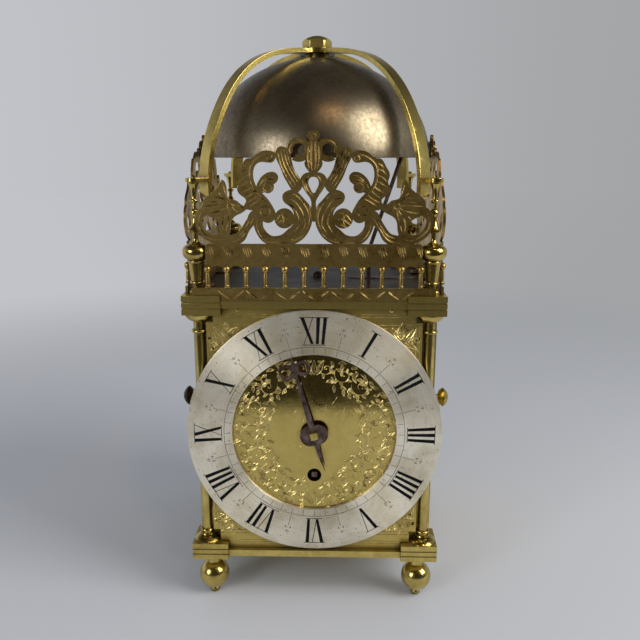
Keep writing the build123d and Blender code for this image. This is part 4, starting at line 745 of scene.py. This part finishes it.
@finish
def silvered_finish(add, place):
    """Rubbed silvering: a matt warm white metal, brushed round the ring, greyer where handled.

    The brushing spreads each highlight into a wedge that points at the ring's middle."""
    centred = add("Mapping", {"Vector": place, "Location": (0, 0, -dial_middle * mm)})
    axes = add("SeparateXYZ", {0: centred}).outputs
    angle = add("Math", {0: axes["X"], 1: axes["Z"]}, "ARCTAN2")
    out = add("VectorMath", {0: centred}, "LENGTH")
    # brush marks 0.3 mm apart across the ring and about 20 degrees long
    fine = add("Math", {0: out, 1: 3300.0}, "MULTIPLY")
    long = add("Math", {0: angle, 1: 3.0}, "MULTIPLY")
    marks = add("TexNoise", {
        "Vector": add("CombineXYZ", {"X": fine, "Y": long}),
        "Scale": 1, "Detail": 3, "Roughness": 0.55,
    })
    # clouds of handling grey 20 mm across, and freckles of 1.5 mm where the silver has gone
    clouds = add("TexNoise", {
        "Vector": place, "Scale": 48, "Detail": 5, "Roughness": 0.6, "Distortion": 0.5,
    })
    clouds = add("MapRange", {"Value": clouds, "From Min": 0.4, "From Max": 0.68})
    freckles = add("TexNoise", {"Vector": place, "Scale": 640})
    freckles = add("MapRange", {"Value": freckles, "From Min": 0.66, "From Max": 0.76})
    face = add("Mix", {"Factor": clouds, "A": "fdf5e0", "B": "ded2b4"}, "RGBA")
    face = add("Mix", {"Factor": freckles, "A": face, "B": "8f8468"}, "RGBA")
    shade = add("MapRange", {
        "Value": marks, "From Min": 0.3, "From Max": 0.7, "To Min": 0.9, "To Max": 1.06,
    })
    return add("BsdfPrincipled", {
        "Base Color": add("VectorMath", {0: face, 1: shade}, "MULTIPLY"),
        "Metallic": 0.85, "Anisotropic": 0.9, "Tangent": centred,
        "Roughness": add("MapRange", {"Value": clouds, "To Min": 0.36, "To Max": 0.46}),
        "Normal": add("Bump", {"Height": marks, "Strength": 0.14, "Distance": 0.05 * mm}),
    })


@finish
def wax_finish(add, place, deep, pale):
    """Engraver's wax: a hard resin that sits a hair below the silver, a little cracked."""
    # shrinkage pits about 1 mm across
    pits = add("TexNoise", {"Vector": place, "Scale": 900, "Detail": 4, "Roughness": 0.6})
    face = add("Mix", {"Factor": pits, "A": deep, "B": pale}, "RGBA")
    return add("BsdfPrincipled", {
        "Base Color": face, "Specular IOR Level": 0.2,
        "Roughness": add("MapRange", {"Value": pits, "To Min": 0.6, "To Max": 0.8}),
        "Normal": add("Bump", {"Height": pits, "Strength": 0.3, "Distance": 0.06 * mm}),
    })


silvered_brass = silvered_finish("silvered_brass")
black_wax = wax_finish("black_wax", "020202", "0a0908")
ring_shape = solid_copy("chapter_ring")
eased_rims(ring_shape, 0.35, lambda p: (
    p.y < 0.1 - ring_face
    and not ring_inner + 0.6 < hypot(p.x, p.z - dial_middle) < ring_outer - 0.5
))
chapter_ring = engrave(
    "silvered_chapter_ring", ring_shape, ring_strokes, 0.16,
    lambda u, v, down: (u, -ring_face + down, dial_middle + v), silvered_brass, black_wax,
)
fit(chapter_ring, "case", "silvered_brass", "chapter_ring")

# the half-hour marks are so shallow that most of their wax has gone
shape = solid_copy("chapter_numerals")
for face in shape.faces:
    spot = face.calc_center_median() / mm
    turn = degrees(atan2(spot.x, spot.z - dial_middle)) % 30
    face.material_index = int(abs(turn - 15) < 5.5)
numerals = finished_piece(
    "waxed_numerals", shape, black_wax, wax_finish("worn_grey_wax", "6b665a", "8d8674")
)
fit(numerals, "case", "black_wax", "chapter_numerals")

# ---------------- hour hand and its collet
# One forged iron hand, pierced and filed, fits the squared end of the hour pipe behind a small
# brass collet. It was heated once, and its skin is a dark purple brown with rubbed edges.
hand_face = 81.4


@finish
def iron_finish(add, place, skin, rubbed, deep, rough=0.36):
    """Heat-browned iron: a dark oxide skin in blotches, with bare metal at rubbed places."""
    # blotches of 6 mm and pits of 0.8 mm
    blotches = add("TexNoise", {"Vector": place, "Scale": 170, "Detail": 5, "Roughness": 0.62})
    pits = add("TexNoise", {"Vector": place, "Scale": 1250, "Detail": 3, "Roughness": 0.6})
    face = add("ValToRGB", {"Fac": blotches}, stops=[(0.34, deep), (0.5, skin), (0.68, rubbed)])
    pitted = add("MapRange", {
        "Value": pits, "From Min": 0.3, "From Max": 0.5, "To Min": 0.55, "To Max": 1,
    })
    return add("BsdfPrincipled", {
        "Base Color": add("VectorMath", {0: face, 1: pitted}, "MULTIPLY"), "Metallic": 0.9,
        "Roughness": add("MapRange", {
            "Value": pits, "From Min": 0.3, "From Max": 0.7,
            "To Min": rough + 0.16, "To Max": rough,
        }),
        "Normal": add("Bump", {"Height": pits, "Strength": 0.25, "Distance": 0.08 * mm}),
    })


def eased_copy(node, name, body, slot, material, width, chosen=lambda p: True, least=50):
    """Stands for a solid with the same shape, whose chosen edges are filed round."""
    shape = solid_copy(node)
    eased_rims(shape, width, chosen, least)
    fit(finished_piece(name, shape, material), body, slot, node)


browned_iron = iron_finish("browned_iron", "6b5953", "94807a", "40332f")
bright_steel = iron_finish("grey_steel", "8f8f90", "b4b4b2", "5f5d5c", 0.3)
eased_copy(
    "hour_hand", "forged_hour_hand", "hand", "dark_steel", browned_iron, 0.32,
    lambda p: p.y < 0.1 - hand_face,
)
eased_copy("hand_collet", "hand_collet_filed", "hand", "brass", turned_brass, 0.3)

# ---------------- frets
# Three frets are sawn from thick brass sheet, front, left and right. Each has a rail, a small
# arcade, an upper rail and scrolling beasts and leaves, whose feathers and veins are cut by hand.
fret_face, scroll_foot, rail_foot, rail_head = 80.4, 244.5, 210.4, 216.0
# cuts on the left half of the scrollwork, as (X, height above the upper rail)
feather_cuts = [
    # wing: its curled rib and its barbs
    [(-23.5, 52), (-29, 52.4), (-34, 50), (-37.4, 46), (-37.6, 40), (-36, 34),
     (-31.5, 28.5), (-27.5, 24)],
    [(-38, 47.5), (-40, 47), (-41.4, 45)], [(-38, 44), (-41, 43.6), (-43.4, 40.8)],
    [(-37.8, 40.8), (-41, 39.8), (-43.6, 37)], [(-37.2, 37.6), (-40.6, 36), (-44.4, 33.6)],
    [(-36, 34.4), (-39.6, 32), (-43.4, 30.4)], [(-34.4, 32), (-37.6, 29.2), (-41, 27.4)],
    [(-32.2, 29.6), (-35.6, 27), (-39.6, 24.6)], [(-30, 27.2), (-34, 25.4), (-38.8, 22)],
    # inner leaf of the wing
    [(-33, 33), (-30.4, 37.4), (-26, 40.6), (-22.6, 40.6)],
    [(-30.6, 36), (-27, 38.4), (-23.4, 38)], [(-30.6, 31.6), (-26.6, 31.2), (-24.4, 33)],
    # long feather beside the palmette
    [(-21, 54.6), (-19, 47), (-15.6, 39.6), (-11.4, 33)],
    [(-19.2, 55.8), (-17.4, 48), (-14, 41), (-10.2, 34.6)],
    [(-17.4, 55.9), (-15.6, 49), (-12.6, 42.6), (-9, 36.6)],
    [(-15.6, 54.4), (-13.8, 48.6), (-11, 42.8), (-8.2, 38.2)],
    # big scroll: its leaf ribs
    [(-15.6, 30.2), (-10.4, 29.4), (-6.2, 25.2), (-3.2, 20), (-2.6, 14.6), (-4.6, 8.2)],
    [(-17.4, 27.6), (-12, 26.2), (-8, 22), (-5.6, 17), (-5.2, 11.6), (-8.2, 6.2)],
    [(-16.6, 24.8), (-12.2, 22), (-9.2, 17.6), (-8.6, 12.4), (-11.4, 7.2)],
    [(-5, 6.4), (-9.4, 2.9), (-15.6, 1), (-25, 1), (-29.6, 2.7), (-32.6, 6.4),
     (-34.2, 10.8), (-34.2, 15.2)],
    # ball of leaves inside it
    [(-22.8, 13.6), (-19.6, 17.8), (-14.4, 19)], [(-22.8, 11.2), (-18.4, 14.6), (-13.4, 14.8)],
    [(-21.2, 9.4), (-17.2, 11.6), (-13.8, 11.6)], [(-20, 19.6), (-18, 16), (-18.6, 11.4)],
    # stem and the drop between the two stems
    [(-6.8, 38.6), (-5, 33.6), (-2.6, 28), (-2, 20), (-1.2, 14.6)],
    [(-0.2, 41.4), (-3.6, 39.6), (-4.4, 36), (-3, 32), (-0.2, 28.8)],
    # palmette and the curl over it
    [(-1, 60.4), (-1.4, 51), (-0.8, 43.4)], [(-3, 58), (-3.4, 51), (-2.4, 44.6)],
    [(-2.6, 55), (-0.2, 53.6)], [(-3, 49.6), (-0.2, 47.2)],
    [(-13.6, 53), (-14, 56.4), (-12, 59.6), (-8.6, 60.8), (-5.2, 59.6)],
    # flower at the end: its petals
    [(-49.6, 25.6), (-52.2, 30.4), (-54, 36.4)], [(-50.4, 24.8), (-56, 27.6), (-62.6, 27.6)],
    [(-51.6, 23), (-58, 23.4), (-65.4, 22.4)], [(-51.4, 21.6), (-57.6, 19.4), (-63.4, 18.4)],
    [(-50.6, 20.8), (-54.6, 14), (-54.6, 7)], [(-49.6, 20.6), (-51.6, 13), (-53, 7.6)],
    [(-48.4, 23.6), (-45, 22.8), (-41.6, 21.4)], [(-48.4, 22), (-46, 19.8), (-43, 19.2)],
    [(-52.6, 26.8), (-56.6, 30.6)], [(-57.6, 25.4), (-61.6, 25)], [(-56.4, 17.2), (-59, 14.6)],
    # hook and branch that tie it to the rail
    [(-67.4, 19.4), (-69.2, 15.2), (-68.8, 10.2), (-66.4, 6.4), (-62.6, 3.6), (-58.4, 2.2),
     (-53.6, 3.2)],
    [(-52, 0.8), (-46.8, 1.8), (-43, 4.8), (-40.2, 9.2), (-37.4, 13.2), (-35, 17)],
    [(-49.4, 3.4), (-44.8, 5.4), (-41.6, 9.4), (-38.6, 14)],
]
# the middles and radii of the beast's eye, the balls and the flower's heart
round_cuts = [(-29.0, 19.8, 2.9), (-27.3, 33.9, 2.5), (-50.0, 22.8, 1.7), (-25.6, 50.8, 1.6)]


def on_scroll(side, points):
    """Places a cut on the left (-1) or the right (1) half of the scrollwork."""
    return [(-side * x, scroll_foot + z) for x, z in points]


fret_strokes = []
for side in (-1, 1):
    fret_strokes += [cut(on_scroll(side, points), 1.15) for points in feather_cuts]
    for x, z, radius in round_cuts:
        fret_strokes.append(cut(on_scroll(side, ring_line((x, z), radius)), 0.8, ring=True))
    # short hatching round the rim of the big scroll
    for n in range(27):
        angle = radians(196 + 150 * n / 26)
        near, far = 11.6 + 0.9 * (n % 2), 14.6
        fret_strokes.append(cut(on_scroll(side, [
            (-17.4 + near * 1.12 * cos(angle), 14.4 + near * sin(angle)),
            (-17.4 + far * 1.1 * cos(angle), 14.4 + (far - 1.6) * sin(angle)),
        ]), 0.42))
fret_strokes.append(cut(on_scroll(-1, ring_line((0.0, 63.4), 1.5)), 0.7, ring=True))
# the base rail carries a row of chevrons, and the upper rail groups of slanted cuts
chevron_pitch, group_pitch, cut_pitch = 17.4, 11.7, 1.35
for n in range(7):
    left = 1.2 + (n - 3.5) * chevron_pitch
    fret_strokes.append(cut([(left + 0.7, rail_head), (left + 7.9, rail_foot)], 1.7, 2.0))
    fret_strokes.append(cut([(left + 9.5, rail_foot), (left + 16.7, rail_head)], 1.7, 2.0))
for n in range(12):
    middle = (n - 5.5) * group_pitch + 0.6
    for k, long in enumerate((5.6, 7.0, 7.0, 5.8)):
        x = middle + (k - 1.5) * cut_pitch
        fret_strokes.append(cut([(x - 0.6, 243.4), (x + 0.8, 243.4 - long)], 1.15, 2.0))

fret_brass = brass_finish(
    "old_fret_brass", "dcbf76", "84682f", "2c1e0c", 0.32, (1, 1, 1), 0.4, dirt=0.9
)
fret_shape = solid_copy("front_fret")
eased_rims(fret_shape, 0.6, lambda p: p.y < 0.5 - fret_face)
front_fret = engrave(
    "front_fret_carved", fret_shape, fret_strokes, 0.5,
    lambda u, v, down: (u, -fret_face + down, v),
    fret_brass, engraved_brass("carved_fret_brass", "a88f58", "2c2010", 0.46),
)
fit(front_fret, "case", "fret_brass", "front_fret")
for side, turn in (("left", -90), ("right", 90)):
    mesh = front_fret.data.copy()
    mesh.transform(Matrix.Rotation(radians(turn), 4, "Z"))
    fret = new_piece(f"{side}_fret_carved", mesh)
    fit(fret, "case", "fret_brass", f"{side}_fret")

# a small turned half column is sweated on to each post of the three arcades
post_pitch, post_foot, post_count = 11.84, 217.6, 12
post_points = turned_outline(
    (0, 0), (1.9, 0), (1.9, 0.9), (1.4, 1.3, 1.3, 2.2), (1.4, 5.0, 1.1, 9.2), (1.7, 9.7),
    (2.15, 11.3, 1.8, 12.8), (1.1, 13.2), (1.1, 13.6), (0, 13.6), fine=0.35,
)
post_places = []
for n in range(post_count):
    along = (n - (post_count - 1) / 2) * post_pitch
    for x, y in ((along, -fret_face), (-fret_face, along), (fret_face, along)):
        post_places.append((x, y, post_foot))
posts = set_at("fret_post_set", turned_mesh("fret_post", post_points, 20), post_places, fret_brass)
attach(posts, "case")

# ---------------- bell, strap and nut
# The bell is cast in bell metal, turned outside and left to dull. Two crossed brass straps stand
# in the finials' cups, and a bolt through leather, bell, spacer and straps ends in a brass nut.
bell_rim, bell_outer, bell_rise, bell_wall, bell_crown = 295.7, 77.5, 65.3, 2.5, 360.7
bolt_hole, bell_steps = 3.05, 60


@finish
def bell_finish(add, place):
    """Dull bell metal: a grey-brown bronze with a fine casting grain and darker clouds."""
    # clouds of 40 mm, freckles of 2.5 mm and a sparkling grain drawn at 0.7 mm
    clouds = add("TexNoise", {
        "Vector": place, "Scale": 26, "Detail": 6, "Roughness": 0.62, "Distortion": 0.4,
    })
    freckles = add("TexNoise", {"Vector": place, "Scale": 420, "Detail": 4, "Roughness": 0.7})
    grain = add("TexNoise", {"Vector": place, "Scale": 1500, "Detail": 3, "Roughness": 0.75})
    face = add("ValToRGB", {"Fac": clouds}, stops=[
        (0.34, "746958"), (0.52, "8a7e68"), (0.7, "988c74"),
    ])
    speck = add("MapRange", {
        "Value": freckles, "From Min": 0.32, "From Max": 0.68, "To Min": 0.66, "To Max": 1.22,
    })
    rough = add("MapRange", {
        "Value": freckles, "From Min": 0.3, "From Max": 0.7, "To Min": 0.4, "To Max": 0.28,
    })
    height = add("Math", {0: freckles, 1: 0.8, 2: grain}, "MULTIPLY_ADD")
    return add("BsdfPrincipled", {
        "Base Color": add("VectorMath", {0: face, 1: speck}, "MULTIPLY"),
        "Metallic": 0.95, "Roughness": rough,
        "Normal": add("Bump", {"Height": height, "Strength": 0.45, "Distance": 0.1 * mm}),
    })


@finish
def leather_finish(add, place):
    """Greased leather: dark brown and matt, with pores about 0.8 mm apart."""
    pores = add("TexVoronoi", {"Vector": place, "Scale": 1250})
    stain = add("TexNoise", {"Vector": place, "Scale": 260, "Detail": 4})
    return add("BsdfPrincipled", {
        "Base Color": add("Mix", {"Factor": stain, "A": "2b1a10", "B": "5b3c25"}, "RGBA"),
        "Roughness": 0.72,
        "Normal": add("Bump", {"Height": pores, "Strength": 0.5, "Distance": 0.15 * mm}),
    })


bell_points = [(bolt_hole, bell_crown)]
for n in range(bell_steps + 1):
    angle = radians(83.0 * (1 - n / bell_steps)) if n else asin(1 - 0.3 / bell_rise)
    bell_points.append((bell_outer * cos(angle), bell_rim + bell_rise * sin(angle)))
bell_points += [(bell_outer - 0.2, bell_rim + 0.3), (bell_outer - 0.5, bell_rim)]
bell_inner, inner_rise = bell_outer - bell_wall, bell_rise - bell_wall
bell_points.append((bell_inner + 0.4, bell_rim))
for n in range(bell_steps + 1):
    angle = radians(86.5 * n / bell_steps)
    bell_points.append((bell_inner * cos(angle), bell_rim + inner_rise * sin(angle)))
bell_points += [(bolt_hole, bell_rim + inner_rise), (bolt_hole, bell_crown)]
bell_skin = turned_mesh("cast_bell", bell_points, 160)
bell = new_piece("cast_bell", bell_skin, bell_finish("dull_bell_metal"))
fit(bell, "case", "bell_metal", "bell")

strap_brass = brass_finish(
    "filed_strap_brass", "e3cc78", "b09b52", "3a2c0c", 0.15, (1, 1, 0.05), 0.7
)
eased_copy("bell_strap", "crossed_bell_strap", "case", "strap_brass", strap_brass, 0.45)
eased_copy("bell_nut", "domed_bell_nut", "case", "brass", case_brass, 0.35, least=24)
finish_nodes(turned_brass, "bell_spacer")
finish_nodes(bright_steel, "bell_bolt")
finish_nodes(leather_finish("greased_leather"), "bell_leather")

# ---------------- doors, rear plate and lugs
# Thin hammered brass sheets close the sides and the back. The doors turn on pins between the
# plates and are pulled by turned knobs, and riveted lugs hold the dial and the rear plate.
sheet_brass = brass_finish(
    "scraped_sheet_brass", "d6c074", "bda860", "43350f", 0.27, (1, 1, 0.02), 2.2
)
# the left door's knob gets a near black brass as painted shade, for the shadow it stands in; the
# right knob is plain turned brass
blackened_brass = brass_finish("blackened_brass", "4a4238", "2e2924", "14110d", 0.3, lines=0.2)
for side, knob_metal in (("left", blackened_brass), ("right", turned_brass)):
    eased_copy(f"{side}_door", f"{side}_door_sheet", f"{side}_door", "brass", sheet_brass, 0.25)
    finish_nodes(knob_metal, f"{side}_door_knob")
eased_copy("back_plate", "rear_sheet", "case", "brass", sheet_brass, 0.25)
finish_nodes(turned_brass, "back_knob", "lug_rivets", "dial_feet")
finish_nodes(sheet_brass, "plate_lugs")

# ---------------- top plate's finish and blade
# The top plate's sides are polished like the rest, but its upper face is only scraped and has
# gone dull grey brown. A thin iron blade lies on it and steadies the hammer's rod.
plate_top = 208.9
shape = solid_copy("top_plate")
eased_rims(shape, 0.3, lambda p: True)
for face in shape.faces:
    height = face.calc_center_median().z / mm
    face.material_index = int(face.normal.z > 0.9 and abs(height - plate_top) < 0.05)
top = finished_piece("top_plate_dressed", shape, case_brass, brass_finish(
    "scraped_dull_brass", "4a463f", "35322c", "1a1712", 0.5, (0.03, 1, 1), 2.0, bare=0.2
))
fit(top, "case", "brass", "top_plate")

blade_line = flowing([(73, 9), (60, 7.2), (44, 6.4), (30, 7.4), (23, 10)], 2.5)
shape = bmesh.new()
rows = []
for n, (x, y) in enumerate(blade_line):
    half = 2.6 - 1.3 * n / len(blade_line)
    rows.append([
        shape.verts.new(Vector((x, y + side * half, plate_top + rise)) * mm)
        for side, rise in ((-1, 0.02), (1, 0.02), (0.8, 1.0), (-0.8, 1.0))
    ])
for a, b in zip(rows, rows[1:]):
    for k in range(4):
        shape.faces.new((a[k], a[(k + 1) % 4], b[(k + 1) % 4], b[k]))
shape.faces.new(rows[0])
shape.faces.new(rows[-1])
bmesh.ops.recalc_face_normals(shape, faces=shape.faces)
blade = finished_piece("iron_blade", shape, browned_iron)
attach(blade, "case")

# ---------------- screws
# Steel screws with slotted heads hold the frets' tabs, the movement and its bracket. Their slots
# point every way, as a hand driver leaves them.
head_slot = 0.55


def slotted_screw(name, head, rise, shank, length):
    """A screw with a low domed head above Z = 0, its slot cut across."""
    points = [(0, -length), (shank, -length), (shank, 0), (head, 0), (head, rise * 0.55)]
    points += [
        (head - (head - 0.5) * (1 - cos(radians(a))), rise * (0.55 + 0.45 * sin(radians(a))))
        for a in (30, 60, 90)
    ] + [(0, rise)]
    screw = new_piece(name, turned_mesh(name, points, 28))
    shape = bmesh.new()
    bmesh.ops.create_cube(shape, size=1.0)
    for vert in shape.verts:
        x, y, z = vert.co
        vert.co = Vector((x * 3 * head, y * head_slot, z * rise + rise)) * mm
    carve(screw, mesh_from(shape, "slot"))
    mesh = screw.data
    bpy.data.objects.remove(screw)
    return mesh


def set_screws(name, screw, places, turns, chance, solid):
    """Sets screws of one kind, each with its slot at a chance angle."""
    screws = set_at(name, screw, places, bright_steel, turns, pi, chance)
    fit(screws, "case", "steel", solid)


tab_top, tab_out, tab_along = 210.3, 74.8, 30.0
set_screws(
    "fret_screw_set", slotted_screw("fret_screw", 2.1, 1.2, 1.0, 4.5),
    [(x * tab_along, -tab_out, tab_top) for x in (-1, 1)]
    + [(x * tab_out, y * tab_along, tab_top) for x in (-1, 1) for y in (-1, 1)],
    None, 5, "fret_screws",
)
movement_face, movement_back, cock_leaf = 62.0, 18.0, 1.5
ahead, behind = (90, 0, 0), (-90, 0, 0)
plate_corners = [(-34.0, 64.0), (34.0, 64.0), (-24.0, 183.0), (24.0, 183.0)]
set_screws(
    "plate_screw_set", slotted_screw("plate_screw", 2.6, 1.3, 1.4, 7.5),
    [(x, -face, z) for face in (movement_face, movement_back) for x, z in plate_corners],
    [ahead] * 4 + [behind] * 4, 8, "movement_screws",
)
leaf_places = [(-22.0, 176.53), (22.0, 176.53), (-4.5, 186.5), (4.5, 186.5)]
click_place = (-1.351, -64.05, 106.941)
set_screws(
    "leaf_screw_set", slotted_screw("leaf_screw", 2.1, 1.3, 1.4, 3.5),
    [(x, -movement_back + cock_leaf, z) for x, z in leaf_places] + [click_place],
    [behind] * 4 + [ahead], 11, "movement_screws",
)
finish_nodes(browned_iron, "bracket_screw")

# ---------------- movement
# Brass plates and wheels turn on polished steel arbors. The spring lies blued in its barrel, and
# the hammer and the pendulum rod are forged iron, kept from rust by old oil.
wheel_brass = brass_finish("cut_wheel_brass", "d9c068", "b09c50", "3c2f12", 0.22, (1, 1, 1), 0.5)
finish_nodes(
    sheet_brass, "movement_front_plate", "movement_back_plate", "movement_bracket", "back_cock"
)
finish_nodes(
    wheel_brass, "hour_wheel", "minute_wheel", "cannon_pinion", "centre_wheel", "third_wheel",
    "escape_wheel", "spring_barrel",
)
finish_nodes(turned_brass, "movement_pillars", "pendulum_bob")
finish_nodes(bright_steel, "ratchet_wheel", "click", "anchor", "pendulum_rod")
finish_nodes(browned_iron, "barrel_arbor", "hammer")
finish_nodes(iron_finish("blued_spring_steel", "4a5570", "6d7488", "2c3344", 0.26), "mainspring")
